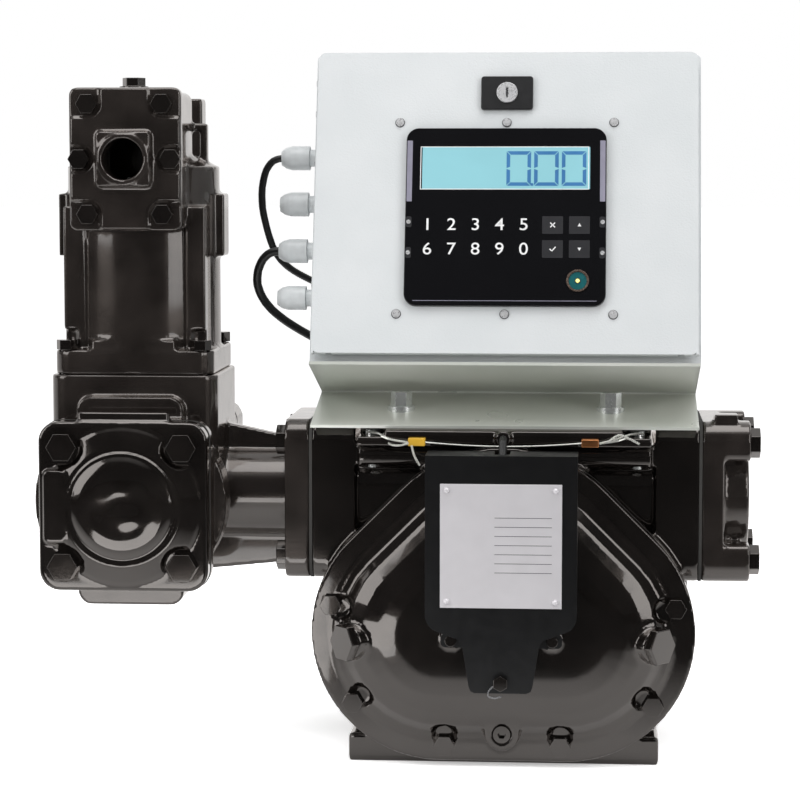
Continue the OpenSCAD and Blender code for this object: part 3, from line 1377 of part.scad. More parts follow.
module vent_cover() color([0.09, 0.09, 0.09]) {
    y1 = head_front + vent_cover_t;
    zc = head_z + head_h / 2;
    difference() {
        union() {
            slab_y(-y1 + vent_relief_t, -head_front) translate([-strainer_x, zc])
                pane(head_w, head_h, vent_turn_r);
            slab_y(-y1, -head_front) difference() {
                translate([-strainer_x, zc])
                    pane(head_w - head_edge, head_h - head_edge, vent_turn_r);
                for (p = vent_places()) vent_pocket(p, sign(p[0] + strainer_x), sign(p[1] - zc));
            }
            slab_y(-y1 - vent_boss_t, -y1 + over) translate([-strainer_x, zc])
                pane(vent_boss, vent_boss, vent_turn_r / 2);
            rod_y(-strainer_x, zc, vent_ring_r, -y1 - vent_boss_t - vent_relief_t, -y1);
        }
        rod_y(-strainer_x, zc, vent_bore_r, -y1 - vent_boss_t - 2 * vent_relief_t, -head_front + over);
        for (p = vent_places())
            rod_y(p[0], p[1], vent_bolt_r, -y1 - over, -head_front + over);
    }
}
// A bolt's pocket in the raised face, open to the nearest edges of the cover
module vent_pocket(p, sx, sz) {
    translate(p) {
        circle(vent_pad_r);
        translate([sx > 0 ? 0 : -head_w, -vent_pad_r]) square([head_w, 2 * vent_pad_r]);
        if (sz != 0) translate([-vent_pad_r, sz > 0 ? 0 : -head_h]) square([2 * vent_pad_r, head_h]);
        if (sz != 0) translate([sx > 0 ? 0 : -head_w, sz > 0 ? 0 : -head_h]) square([head_w, head_h]);
    }
}

module vent_cover_bolts() color([0.13, 0.13, 0.13]) {
    for (p = vent_places())
        translate([p[0], -head_front - vent_cover_t + vent_relief_t, p[1]]) rotate([90, 0, 0])
            hex_bolt(vent_bolt_r, vent_bolt_af, vent_bolt_head, vent_grip);
}

plug_thread_r = 5;
top_plug_r = 9.5;
top_plug_h = 7;
plug_hex_share = 0.8;
module top_plug() color([0.1, 0.1, 0.1])
    translate([-strainer_x, -(head_front + head_back) / 2, head_z + head_h - head_edge]) {
        translate([0, 0, -plug_thread_r]) cylinder(h = 2 * plug_thread_r, r = plug_thread_r);
        cylinder(h = top_plug_h / 2, r = top_plug_r);
        cylinder(h = top_plug_h + 2 * over, r = top_plug_r * plug_hex_share, $fn = 6);
    }

// Float on its arm: the arm turns on its own pin in the vent head's cheeks
arm_half = 20;
arm_pin_r = 2.5;
arm_pivot_y = -50;
arm_pivot_z = 372;
arm_w = 6;
float_h = 48;
float_y = tower_y;
float_top = 352;
module float_arm() color([0.7, 0.71, 0.72]) {
    rod_x(arm_pivot_y, arm_pivot_z, arm_pin_r, -strainer_x - arm_half - pot_wall,
        -strainer_x + arm_half + pot_wall);
    slab_x(-strainer_x - arm_w / 2, -strainer_x + arm_w / 2) {
        translate([arm_pivot_y, arm_pivot_z]) circle(2 * arm_pin_r);
        polygon([
            [arm_pivot_y, arm_pivot_z + 2 * arm_pin_r], [float_y + arm_w, arm_pivot_z - arm_w],
            [float_y + arm_w, float_top], [float_y - arm_w, float_top],
            [float_y - arm_w, arm_pivot_z - 2 * arm_w],
            [arm_pivot_y, arm_pivot_z - 2 * arm_pin_r]]);
    }
}

module float() color([0.74, 0.75, 0.76])
    translate([-strainer_x, float_y, float_top - float_h]) {
        cylinder(h = float_h - over, r = float_r - 4 * over);
        cylinder(h = float_h, r = float_r / 2);
        translate([0, 0, 6 * over]) cylinder(h = float_h - 12 * over, r = float_r);
    }

meter_housing();
front_bearing_plate();
rear_bearing_plate();
rotor_bushes();
blocking_rotor();
left_displacement_rotor();
right_displacement_rotor();
blocking_gear();
left_rotor_gear();
right_rotor_gear();
joint_gaskets();
front_cover();
rear_cover();
cover_bolts();
side_plugs();
drain_plug();
packing_gland();
output_shaft();
pulse_transmitter();
pulser_lead();
drive_guard();
guard_screws();
nameplate();
nameplate_rivets();
register_base();
base_screws();
seal_wire();
security_seals();
enclosure_bracket();
bracket_bolts();
enclosure_body();
enclosure_door();
door_gasket();
hinge_pins();
lock_housing();
lock_core();
display_housing();
display_window();
front_panel();
key_reader();
door_screws();
circuit_board();
gland_bodies();
gland_nuts();
gland_locknuts();
cable_one();
cable_two();
strainer_body();
strainer_cover();
strainer_basket();
strainer_bolts();
flange_bolts();
inlet_flange();
outlet_flange();
tower_body();
vent_cover();
vent_cover_bolts();
top_plug();
float();
float_arm();
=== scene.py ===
"""Looks of the positive displacement flow meter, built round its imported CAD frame. Units are metres."""

import json
import math

import bmesh
import bpy
from mathutils import Matrix, Vector
from mathutils import noise as field


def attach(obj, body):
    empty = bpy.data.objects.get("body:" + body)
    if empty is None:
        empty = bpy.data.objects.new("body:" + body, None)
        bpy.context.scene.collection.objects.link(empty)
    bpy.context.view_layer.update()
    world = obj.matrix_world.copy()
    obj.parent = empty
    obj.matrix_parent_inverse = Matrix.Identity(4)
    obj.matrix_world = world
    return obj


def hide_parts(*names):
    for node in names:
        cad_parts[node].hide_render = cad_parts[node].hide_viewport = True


MM = 0.001
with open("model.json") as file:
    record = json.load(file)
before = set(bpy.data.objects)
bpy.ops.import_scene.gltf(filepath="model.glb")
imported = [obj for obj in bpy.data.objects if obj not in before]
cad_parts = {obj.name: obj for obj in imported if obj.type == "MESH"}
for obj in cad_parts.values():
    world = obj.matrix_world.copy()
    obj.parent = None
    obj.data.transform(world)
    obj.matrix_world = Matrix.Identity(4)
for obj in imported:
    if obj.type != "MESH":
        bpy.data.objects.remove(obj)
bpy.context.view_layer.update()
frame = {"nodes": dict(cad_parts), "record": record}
nodes = frame["nodes"]
record = frame["record"]
body_of = {name: body for body, names in record["behaviour"]["bodies"].items() for name in names}
slot_of = {part["node"]: part["material_slot"] for part in record["subparts"]}

# Camera, read from the photograph: it stands to the right of the nameplate and looks down a little
CAMERA_AT = Vector((0.0598, -1.764, 0.3865))
CAMERA_YAW = 4.26
CAMERA_PITCH = -5.09
CAMERA_LENS = 120.1
CAMERA_FILM = 36
CAMERA_REACH = 60


def set_camera():
    data = bpy.data.cameras.new("camera")
    data.lens = CAMERA_LENS
    data.sensor_width = CAMERA_FILM
    data.clip_end = CAMERA_REACH
    camera = bpy.data.objects.new("camera", data)
    bpy.context.scene.collection.objects.link(camera)
    camera.location = CAMERA_AT
    camera.rotation_euler = (math.radians(90 + CAMERA_PITCH), 0, math.radians(CAMERA_YAW))
    bpy.context.scene.camera = camera


# Noise: how much detail, how far it is stretched along X, Y and Z, and which of its values are put to use
COARSE = 1
MEDIUM = 2
FINE = 3
EVEN = (1, 1, 1)
ALONG_Y = (1, 0.1, 1)
ALONG_Y_AND_Z = (1, 0.1, 0.1)
SPREAD_FROM = 0.3
SPREAD_TO = 0.7
TINT_FROM = 0.35
TINT_TO = 0.65


def material(name, color, roughness, metallic=0.0):
    made = bpy.data.materials.new(name)
    made.use_nodes = True
    shader = made.node_tree.nodes["Principled BSDF"]
    shader.inputs["Base Color"].default_value = (*color, 1)
    shader.inputs["Roughness"].default_value = roughness
    shader.inputs["Metallic"].default_value = metallic
    return made, made.node_tree, shader


def noise(tree, scale, detail, stretch=EVEN):
    """A noise in object space; scale is features per metre."""
    place = tree.nodes.new("ShaderNodeTexCoord")
    mapping = tree.nodes.new("ShaderNodeMapping")
    mapping.inputs["Scale"].default_value = stretch
    made = tree.nodes.new("ShaderNodeTexNoise")
    made.inputs["Scale"].default_value = scale
    made.inputs["Detail"].default_value = detail
    tree.links.new(place.outputs["Object"], mapping.inputs["Vector"])
    tree.links.new(mapping.outputs["Vector"], made.inputs["Vector"])
    return made.outputs["Fac"]


def spread(tree, value, low, high, into):
    """Sends a noise to a socket, from low to high."""
    ramp = tree.nodes.new("ShaderNodeMapRange")
    ramp.inputs["From Min"].default_value = SPREAD_FROM
    ramp.inputs["From Max"].default_value = SPREAD_TO
    ramp.inputs["To Min"].default_value = low
    ramp.inputs["To Max"].default_value = high
    tree.links.new(value, ramp.inputs["Value"])
    tree.links.new(ramp.outputs["Result"], into)


def tint(tree, value, dark, light, into):
    """Sends a noise to a colour socket, from dark to light."""
    ramp = tree.nodes.new("ShaderNodeValToRGB")
    ramp.color_ramp.elements[0].position = TINT_FROM
    ramp.color_ramp.elements[0].color = (*dark, 1)
    ramp.color_ramp.elements[1].position = TINT_TO
    ramp.color_ramp.elements[1].color = (*light, 1)
    tree.links.new(value, ramp.inputs["Fac"])
    tree.links.new(ramp.outputs["Color"], into)


def bump(tree, shader, value, depth, before=None):
    """A bump of that depth in metres; before is an earlier bump's normal."""
    made = tree.nodes.new("ShaderNodeBump")
    made.inputs["Strength"].default_value = 1
    made.inputs["Distance"].default_value = depth
    tree.links.new(value, made.inputs["Height"])
    if before:
        tree.links.new(before, made.inputs["Normal"])
    tree.links.new(made.outputs["Normal"], shader.inputs["Normal"])
    return made.outputs["Normal"]


def shaded(color, share):
    """The colour times that share."""
    return tuple(share * part for part in color)


# Thick black gloss paint over a sand casting
ENAMEL_BLACK = (0.004, 0.004, 0.004)
ENAMEL_DARK = (0.004, 0.0034, 0.0032)
ENAMEL_LIGHT = (0.008, 0.007, 0.0066)
# Warm tint on the enamel's coat and reflections, a painted reflection of warm surroundings
ENAMEL_REFLECTION_TINT = (1, 0.93, 0.88, 1)
ENAMEL_COAT = 0.9
ENAMEL_COAT_ROUGHNESS = 0.05
ENAMEL_SMOOTHER = 0.03
ENAMEL_ROUGHER = 0.06
ENAMEL_GLOSS_SCALE = 60
ENAMEL_TONE_SCALE = 35
ENAMEL_DENT_SCALE = 30
ENAMEL_GRAIN_SCALE = 600


def enamel(name, roughness, dents, grain, sheen_paleness):
    """Enamel with shallow dents and a fine grain of those depths; the last argument makes its colour that
    many times paler, a painted sheen.
    """
    made, tree, shader = material(name, ENAMEL_BLACK, roughness)
    shader.inputs["Coat Weight"].default_value = ENAMEL_COAT
    shader.inputs["Coat Roughness"].default_value = ENAMEL_COAT_ROUGHNESS
    shader.inputs["Coat Tint"].default_value = ENAMEL_REFLECTION_TINT
    shader.inputs["Specular Tint"].default_value = ENAMEL_REFLECTION_TINT
    gloss = noise(tree, ENAMEL_GLOSS_SCALE, FINE)
    spread(tree, gloss, roughness - ENAMEL_SMOOTHER, roughness + ENAMEL_ROUGHER, shader.inputs["Roughness"])
    tone = noise(tree, ENAMEL_TONE_SCALE, FINE)
    tint(tree, tone, shaded(ENAMEL_DARK, sheen_paleness), shaded(ENAMEL_LIGHT, sheen_paleness), shader.inputs["Base Color"])
    wave = bump(tree, shader, noise(tree, ENAMEL_DENT_SCALE, COARSE), dents)
    bump(tree, shader, noise(tree, ENAMEL_GRAIN_SCALE, MEDIUM), grain, wave)
    return made


# The enclosure's paint
POWDER_GREY = (0.66, 0.685, 0.695)
POWDER_DARK = (0.64, 0.665, 0.675)
POWDER_LIGHT = (0.68, 0.70, 0.71)
POWDER_ROUGHNESS = 0.42
POWDER_TONE_SCALE = 18
POWDER_GRAIN_SCALE = 900
POWDER_GRAIN = 0.16 * MM


def powder_coat():
    made, tree, shader = material("grey_powder_coat", POWDER_GREY, POWDER_ROUGHNESS)
    tone = noise(tree, POWDER_TONE_SCALE, MEDIUM)
    tint(tree, tone, POWDER_DARK, POWDER_LIGHT, shader.inputs["Base Color"])
    bump(tree, shader, noise(tree, POWDER_GRAIN_SCALE, FINE), POWDER_GRAIN)
    return made


# The bracket's zinc plated sheet
ZINC_GREY = (0.7, 0.72, 0.67)
ZINC_DARK = (0.68, 0.71, 0.65)
ZINC_LIGHT = (0.76, 0.77, 0.72)
ZINC_METALLIC = 0.35
ZINC_ROUGHNESS = 0.28
ZINC_SMOOTHEST = 0.26
ZINC_ROUGHEST = 0.36
ZINC_TONE_SCALE = 9
ZINC_GLOSS_SCALE = 12
ZINC_GRAIN_SCALE = 300
ZINC_GRAIN = 0.01 * MM


def zinc():
    made, tree, shader = material("zinc_plate", ZINC_GREY, ZINC_ROUGHNESS, ZINC_METALLIC)
    tone = noise(tree, ZINC_TONE_SCALE, MEDIUM)
    tint(tree, tone, ZINC_DARK, ZINC_LIGHT, shader.inputs["Base Color"])
    gloss = noise(tree, ZINC_GLOSS_SCALE, MEDIUM)
    spread(tree, gloss, ZINC_SMOOTHEST, ZINC_ROUGHEST, shader.inputs["Roughness"])
    bump(tree, shader, noise(tree, ZINC_GRAIN_SCALE, MEDIUM, ALONG_Y_AND_Z), ZINC_GRAIN)
    return made


# Bare and plated metal with a fine grain
METAL_DARKER = 0.93
METAL_SMOOTHER = 0.05
METAL_ROUGHER = 0.07
METAL_GLOSS_SCALE = 500
METAL_TONE_SCALE = 300
METAL_GRAIN_SCALE = 900
METAL_GRAIN = 0.004 * MM


def brushed(name, color, roughness, stretch=EVEN, metallic=1.0):
    made, tree, shader = material(name, color, roughness, metallic)
    gloss = noise(tree, METAL_GLOSS_SCALE, FINE, stretch)
    spread(tree, gloss, roughness - METAL_SMOOTHER, roughness + METAL_ROUGHER, shader.inputs["Roughness"])
    tone = noise(tree, METAL_TONE_SCALE, FINE, stretch)
    tint(tree, tone, shaded(color, METAL_DARKER), color, shader.inputs["Base Color"])
    bump(tree, shader, noise(tree, METAL_GRAIN_SCALE, MEDIUM, stretch), METAL_GRAIN)
    return made


# Moulded, sprayed and printed surfaces: how many grains one patch of tone and one patch of gloss span
PLAIN_TONE_SPAN = 12
PLAIN_GLOSS_SPAN = 6
PLAIN_SMOOTHER = 0.02
PLAIN_ROUGHER = 0.03
PLAIN_DARKER = 0.92


def plain(name, color, roughness, grain, depth, metallic=0.0, darker=PLAIN_DARKER):
    """A surface with that many grains per metre, that deep. Its colour varies from darker times the colour
    to half as far on the light side."""
    made, tree, shader = material(name, color, roughness, metallic)
    light = tuple(min(1, part * (3 - darker) / 2) for part in color)
    tone = noise(tree, grain / PLAIN_TONE_SPAN, FINE)
    tint(tree, tone, shaded(color, darker), light, shader.inputs["Base Color"])
    gloss = noise(tree, grain / PLAIN_GLOSS_SPAN, MEDIUM)
    spread(tree, gloss, roughness - PLAIN_SMOOTHER, roughness + PLAIN_ROUGHER, shader.inputs["Roughness"])
    bump(tree, shader, noise(tree, grain, MEDIUM), depth)
    return made


# Lit display surfaces
GLOW_DARKER = 0.94
GLOW_TONE_SCALE = 25


def glowing(name, color, strength, roughness):
    """A surface that gives off light of its own colour."""
    made, tree, shader = material(name, color, roughness)
    tone = noise(tree, GLOW_TONE_SCALE, MEDIUM)
    tint(tree, tone, shaded(color, GLOW_DARKER), color, shader.inputs["Base Color"])
    shader.inputs["Emission Color"].default_value = (*color, 1)
    shader.inputs["Emission Strength"].default_value = strength
    return made


# Roughness, depth of the dents, depth of the grain, and how many times paler the colour is, a painted sheen
ENAMELS = {
    "black_enamel": (0.1, 0.15 * MM, 0.012 * MM, 1.0),
    "cast_enamel": (0.2, 0.3 * MM, 0.03 * MM, 3.0),
    "raw_black_casting": (0.24, 0.4 * MM, 0.09 * MM, 2.0),
    "blackened_bolts": (0.12, 0.1 * MM, 0.02 * MM, 1.0),
}
# Colour, roughness, and for some the stretch of the grain and how metallic they are
METALS = {
    "plate_iron": ((0.33, 0.33, 0.34), 0.35),
    "bush_bronze": ((0.5, 0.35, 0.15), 0.3),
    "rotor_alloy": ((0.6, 0.61, 0.62), 0.3, ALONG_Y),
    "gear_steel": ((0.5, 0.5, 0.52), 0.3),
    "zinc_bolt": ((0.85, 0.87, 0.86), 0.22, EVEN, 0.75),
    "bright_wire": ((0.75, 0.75, 0.7), 0.3, EVEN, 0.5),
    "bright_steel": ((0.72, 0.72, 0.73), 0.28, EVEN, 0.5),
    "reader_ring": ((0.5, 0.37, 0.3), 0.25, EVEN, 0.9),
    "copper_seal": ((0.6, 0.25, 0.1), 0.35),
}
# Colour, roughness, grains per metre, their depth, and for some how metallic and how dark they are
PLAINS = {
    "gasket_sheet": ((0.05, 0.048, 0.045), 0.8, 1500, 0.05 * MM),
    "sensor_case": ((0.04, 0.04, 0.045), 0.45, 1500, 0.03 * MM),
    "black_guard": ((0.006, 0.006, 0.0065), 0.3, 900, 0.004 * MM, 0.0, 0.97),
    "plate_metal": ((0.7, 0.68, 0.705), 0.42, 900, 0.002 * MM, 0.3, 0.98),
    "seal_plastic": ((0.72, 0.42, 0.03), 0.35, 900, 0.05 * MM),
    "seal_rubber": ((0.02, 0.02, 0.02), 0.85, 1500, 0.08 * MM),
    "black_plastic": ((0.012, 0.012, 0.013), 0.35, 1800, 0.03 * MM),
    "black_panel": ((0.005, 0.005, 0.006), 0.13, 120, 0.001 * MM),
    "board_green": ((0.03, 0.16, 0.07), 0.5, 800, 0.03 * MM),
    "grey_plastic": ((0.8, 0.83, 0.84), 0.35, 1500, 0.01 * MM),
    "cable_jacket": ((0.01, 0.01, 0.01), 0.38, 1200, 0.03 * MM),
    "white_print": ((0.85, 0.85, 0.85), 0.4, 1500, 0.01 * MM),
    "lcd_segment": ((0.05, 0.19, 0.42), 0.3, 900, 0.01 * MM),
    "key_field": ((0.02, 0.02, 0.023), 0.4, 1800, 0.004 * MM, 0.0, 0.98),
    # Painted shade for the ring round each door screw and for the socket in its head
    "dark_recess": ((0.09, 0.092, 0.095), 0.6, 1800, 0.004 * MM),
    "grey_strip": ((0.26, 0.25, 0.32), 0.45, 1500, 0.02 * MM),
    "reader_green": ((0.01, 0.11, 0.12), 0.25, 900, 0.02 * MM),
    "plate_ink": ((0.06, 0.06, 0.065), 0.5, 900, 0.01 * MM),
}
# Colour, strength of the light, roughness
GLOWS = {
    "lcd_window": ((0.26, 0.54, 0.6), 0.14, 0.2),
    "led_yellow": ((0.85, 0.9, 0.25), 1.0, 0.4),
}
MATERIALS = {"grey_powder_coat": powder_coat(), "zinc_plate": zinc()}
for maker, table in ((enamel, ENAMELS), (brushed, METALS), (plain, PLAINS), (glowing, GLOWS)):
    for material_name, values in table.items():
        MATERIALS[material_name] = maker(material_name, *values)


def dress(piece, name):
    """Gives the piece that one material."""
    piece.data.materials.clear()
    piece.data.materials.append(MATERIALS[name])


def link(name, mesh, body, slot):
    """A new piece that moves with the body."""
    piece = bpy.data.objects.new(name, mesh)
    bpy.context.scene.collection.objects.link(piece)
    dress(piece, slot)
    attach(piece, body)
    return piece


# Skins over CAD nodes, with angles in degrees: below FLAT two faces become one, above CORNER an edge is
# broken, and above the angle SHARP of its kind of skin an edge stays sharp in the shading
WELD = 0.02 * MM
FLAT = 0.5
CORNER = 38
CRISP_SHARP = 60
CAST_SHARP = 70
SOFT_SHARP = 80
LARGE_FACE_WEIGHT = 60
EDGE_STEPS = 2
CAST_GRID = 1.3 * MM
CAST_SOFTNESS = 0.5
CAST_PASSES = 4
CAST_KEEP_SHARE = 0.35
CABLE_LEVELS = 1


def bake(piece):
    """Replaces the piece's mesh by what its modifiers make of it."""
    bpy.context.view_layer.update()
    deps = bpy.context.evaluated_depsgraph_get()
    mesh = bpy.data.meshes.new_from_object(piece.evaluated_get(deps))
    piece.modifiers.clear()
    piece.data = mesh
    return mesh


def settle(piece, angle):
    """Bakes the piece, with large faces shading flat and edges over that angle sharp."""
    mesh = bake(piece)
    mesh.polygons.foreach_set("use_smooth", [True] * len(mesh.polygons))
    mesh.set_sharp_from_angle(angle=math.radians(angle))
    weigh = piece.modifiers.new("normals", "WEIGHTED_NORMAL")
    weigh.mode = "FACE_AREA"
    weigh.weight = LARGE_FACE_WEIGHT
    weigh.keep_sharp = True
    bake(piece)


def copy_of(node_name, dissolve=True):
    """A copy of the CAD node that stands for it; dissolve joins the faces that lie in one plane."""
    mesh = nodes[node_name].data.copy()
    work = bmesh.new()
    work.from_mesh(mesh)
    bmesh.ops.remove_doubles(work, verts=work.verts, dist=WELD)
    if dissolve:
        bmesh.ops.dissolve_limit(work, angle_limit=math.radians(FLAT), verts=work.verts, edges=work.edges)
    work.to_mesh(mesh)
    work.free()
    piece = link(node_name + "_skin", mesh, body_of[node_name], slot_of[node_name])
    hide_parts(node_name)
    return piece


def crisp(node_name, width):
    """The CAD node with its sharp edges broken by that width."""
    piece = copy_of(node_name)
    bevel = piece.modifiers.new("edges", "BEVEL")
    bevel.width = width
    bevel.segments = EDGE_STEPS
    bevel.limit_method = "ANGLE"
    bevel.angle_limit = math.radians(CORNER)
    settle(piece, CRISP_SHARP)
    return piece


def cast(node_name, keep=CAST_KEEP_SHARE, shape=None):
    """The CAD node as a casting: every edge and corner is rounded the way a sand mould leaves it."""
    piece = copy_of(node_name)
    remesh = piece.modifiers.new("grid", "REMESH")
    remesh.mode = "VOXEL"
    remesh.voxel_size = CAST_GRID
    smooth = piece.modifiers.new("soften", "SMOOTH")
    smooth.factor = CAST_SOFTNESS
    smooth.iterations = CAST_PASSES
    if shape:
        bake(piece)
        shape(piece.data)
    lighter = piece.modifiers.new("lighter", "DECIMATE")
    lighter.ratio = keep
    settle(piece, CAST_SHARP)
    return piece


def soft(node_name):
    """The CAD node with its facets rounded off, for cables."""
    piece = copy_of(node_name, dissolve=False)
    rounder = piece.modifiers.new("round", "SUBSURF")
    rounder.levels = CABLE_LEVELS
    rounder.render_levels = CABLE_LEVELS
    settle(piece, SOFT_SHARP)
    return piece


# The strainer cover's middle is dented: where, how far out, how deep and how many dents per metre
COVER_AT = (-241.5 * MM, 168 * MM)
COVER_FACE = -92 * MM
DENT_REACH = 33 * MM
DENT_DEPTH = 3.8 * MM
DENT_RATE = 62
COVER_KEEP_SHARE = 0.6


def dented(mesh):
    """Presses shallow dents into the cover, which fade out towards their reach."""
    for vertex in mesh.vertices:
        reach = math.hypot(vertex.co.x - COVER_AT[0], vertex.co.z - COVER_AT[1]) / DENT_REACH
        if vertex.co.y < COVER_FACE and reach < 1:
            depth = 0.5 + 0.5 * field.noise(vertex.co * DENT_RATE)
            vertex.co.y += DENT_DEPTH * depth * (1 - reach ** 2) ** 2


GLOSSY_CASTINGS = ("meter_housing", "front_cover", "rear_cover", "register_base")
# These castings get the paler cast_enamel, whose paleness is a painted sheen
SHEEN_PALE_CASTINGS = ("strainer_body", "tower_body", "vent_cover", "inlet_flange", "outlet_flange")
# How wide the edges of clean pieces are broken, in millimetres
EDGES = {
    "cover_bolts": 0.7,
    "side_plugs": 0.9,
    "strainer_bolts": 0.9,
    "flange_bolts": 0.9,
    "vent_cover_bolts": 0.7,
    "top_plug": 0.8,
    "bracket_bolts": 0.6,
    "base_screws": 0.3,
    "guard_screws": 0.4,
    "drive_guard": 0.6,
    "enclosure_bracket": 0.5,
    "enclosure_body": 1.1,
    "enclosure_door": 1.2,
    "lock_housing": 0.6,
    "lock_core": 0.3,
    "display_housing": 1.0,
    "gland_bodies": 0.5,
    "gland_nuts": 0.5,
    "security_seals": 0.6,
    "door_screws": 0.3,
    "nameplate": 0.15,
}


def colour_seals(seals):
    """The right seal is copper, the left one yellow."""
    seals.data.materials.append(MATERIALS["copper_seal"])
    for face in seals.data.polygons:
        face.material_index = int(face.center.x > 0)


def dress_nodes():
    """Gives every CAD node its material, and a skin where its edges or facets are to be softened."""
    for name, node in nodes.items():
        dress(node, slot_of[name])
    dress(nodes["key_reader"], "reader_ring")
    for name in GLOSSY_CASTINGS:
        cast(name)
    for name in SHEEN_PALE_CASTINGS:
        dress(cast(name), "cast_enamel")
    cast("strainer_cover", COVER_KEEP_SHARE, dented)
    skins = {name: crisp(name, width * MM) for name, width in EDGES.items()}
    for name in ("bracket_bolts", "base_screws"):
        dress(skins[name], "zinc_bolt")
    colour_seals(skins["security_seals"])
    for name in ("cable_one", "cable_two"):
        soft(name)


def mesh_from(name, vertices, faces, body, slot, smooth=False):
    """A new piece with those vertices and faces, its normals outward."""
    mesh = bpy.data.meshes.new(name)
    mesh.from_pydata([tuple(v) for v in vertices], [], faces)
    mesh.validate()
    work = bmesh.new()
    work.from_mesh(mesh)
    bmesh.ops.recalc_face_normals(work, faces=work.faces)
    work.to_mesh(mesh)
    work.free()
    piece = link(name, mesh, body, slot)
    if smooth:
        mesh.polygons.foreach_set("use_smooth", [True] * len(mesh.polygons))
    return piece


# Wires, in millimetres: a tube's sides, points per turn of a strand, and where the first side of each faces
WIRE_SIDES = 6
STRAND_STEPS = 7
TUBE_START = Vector((0.31, 0.23, 0.92))
STRAND_START = Vector((0.3, 0.9, 0.3))
WIRE_R = 0.34
WIRE_WIND = 0.5
WIRE_PITCH = 3.2
NOSE_WIRE_SHARE = 0.7
SEAL_WIRES = {
    "left_seal_tie": [(-88, -63, 214), (-80, -70, 213.5), (-72, -79, 211), (-61, -82.5, 209.4)],
    "left_seal_loop": [(-77, -66, 213.5), (-73, -76, 208), (-66, -83, 207.4), (-60, -84, 209)],
    "left_seal_tail": [(-58, -83.5, 207.5), (-56, -86, 201), (-52.5, -87, 195)],
    "right_seal_tie": [(89, -63, 214), (81, -70, 214), (72, -79, 212), (61, -82.5, 209.4)],
    "right_seal_loop": [(66, -83.5, 210.5), (73, -80, 214.5), (79, -78, 212.5), (86, -79, 209)],
}
NOSE_WIRE = [(-4.4, -117.5, 60), (-7.2, -117.2, 57), (-7.4, -117, 53.6), (-3.4, -117, 52.4), (1, -117, 53.6)]


def rails(line, across):
    """Each place of the line with two directions square to it, turned as little as can be from the last."""
    last = len(line) - 1
    for i, place in enumerate(line):
        along = (line[min(i + 1, last)] - line[max(i - 1, 0)]).normalized()
        across = (across - along * across.dot(along)).normalized()
        yield place, across, along.cross(across)


def spoke(across, over, turn):
    """The direction across, turned by that angle towards over."""
    return across * math.cos(turn) + over * math.sin(turn)


def tube(name, centres, radius, body, slot, sides=WIRE_SIDES):
    """A round tube along the centres, closed at both ends."""
    vertices = []
    for centre, across, over in rails([Vector(c) * MM for c in centres], TUBE_START):
        for k in range(sides):
            vertices.append(centre + radius * MM * spoke(across, over, 2 * math.pi * k / sides))
    faces = []
    for i in range(len(centres) - 1):
        for k in range(sides):
            j = (k + 1) % sides
            faces.append([i * sides + k, i * sides + j, (i + 1) * sides + j, (i + 1) * sides + k])
    faces.append(list(range(sides - 1, -1, -1)))
    faces.append(list(range(len(vertices) - sides, len(vertices))))
    return mesh_from(name, vertices, faces, body, slot, True)


def along_path(points, step):
    """Places about that far apart on a smooth line through the points."""
    points = [Vector(p) for p in points]
    ends = [2 * points[0] - points[1]] + points + [2 * points[-1] - points[-2]]
    made = []
    for i in range(1, len(ends) - 2):
        a, b, c, d = ends[i - 1:i + 3]
        count = max(2, int((c - b).length / step))
        for k in range(count):
            u = k / count
            made.append(0.5 * (2 * b + (c - a) * u + (2 * a - 5 * b + 4 * c - d) * u * u
                               + (3 * b - a - 3 * c + d) * u ** 3))
    return made + [points[-1]]


def wound(name, points, slot, share=1.0):
    """Two strands twisted round the line through the points; share scales their radius and their winding."""
    line = along_path(points, WIRE_PITCH / STRAND_STEPS)
    for strand in range(2):
        made = []
        run = 0
        before = line[0]
        for place, across, over in rails(line, STRAND_START):
            run += (place - before).length
            before = place
            turn = 2 * math.pi * run / WIRE_PITCH + strand * math.pi
            made.append(place + WIRE_WIND * share * spoke(across, over, turn))
        tube(name + "_" + str(strand + 1), made, WIRE_R * share, "meter", slot)


def wires():
    for name, route in SEAL_WIRES.items():
        wound(name, route, "bright_wire")
    wound("nose_wire", NOSE_WIRE, "plate_iron", NOSE_WIRE_SHARE)


# The register's face is laid out in the enclosure's own frame, in millimetres: x across, y into the depth
# and z up the door. DOOR_AT is where that frame stands, in metres.
DOOR_TILT = math.radians(16.5)
DOOR_AT = Vector((0, -0.078, 0.260))
TO_DOOR = Matrix.Translation(DOOR_AT) @ Matrix.Rotation(-DOOR_TILT, 4, "X")
BEZEL_Y = -4.0
PLATE_T = 0.1
# How far each layer stands in front of the bezel
KEY_LIFT = 0.02
RECESS_LIFT = 0.03
PRINT_LIFT = 0.05
READER_LIFT = 0.06
DIGIT_LIFT = 0.08
BORDER_LIFT = 0.09
SYMBOL_LIFT = 0.1
SCREW_LIFT = 0.3
LIGHT_LIFT = 0.6
CORNER_STEPS = 6


def on_door(x, z, y):
    """A point on the register's face."""
    return TO_DOOR @ Vector((x * MM, y * MM, z * MM))


def on_meter(x, z, y):
    """A point in the meter's own frame, from millimetres."""
    return x * MM, y * MM, z * MM


def slabs(name, outlines, place, y, thick, body, slot):
    """Thin plates with those outlines, across and up; place says where a point lies."""
    vertices = []
    faces = []
    for outline in outlines:
        start = len(vertices)
        count = len(outline)
        vertices += [place(x, z, depth) for depth in (y, y + thick) for x, z in outline]
        faces.append(list(range(start, start + count)))
        faces.append(list(range(start + 2 * count - 1, start + count - 1, -1)))
        for i in range(count):
            j = (i + 1) % count
            faces.append([start + j, start + i, start + count + i, start + count + j])
    return mesh_from(name, vertices, faces, body, slot)


def plates(name, outlines, slot, lift=PRINT_LIFT, thick=PLATE_T):
    """Thin plates on the register's face, lifted that far off the bezel."""
    return slabs(name, outlines, on_door, BEZEL_Y - lift, thick, "door", slot)


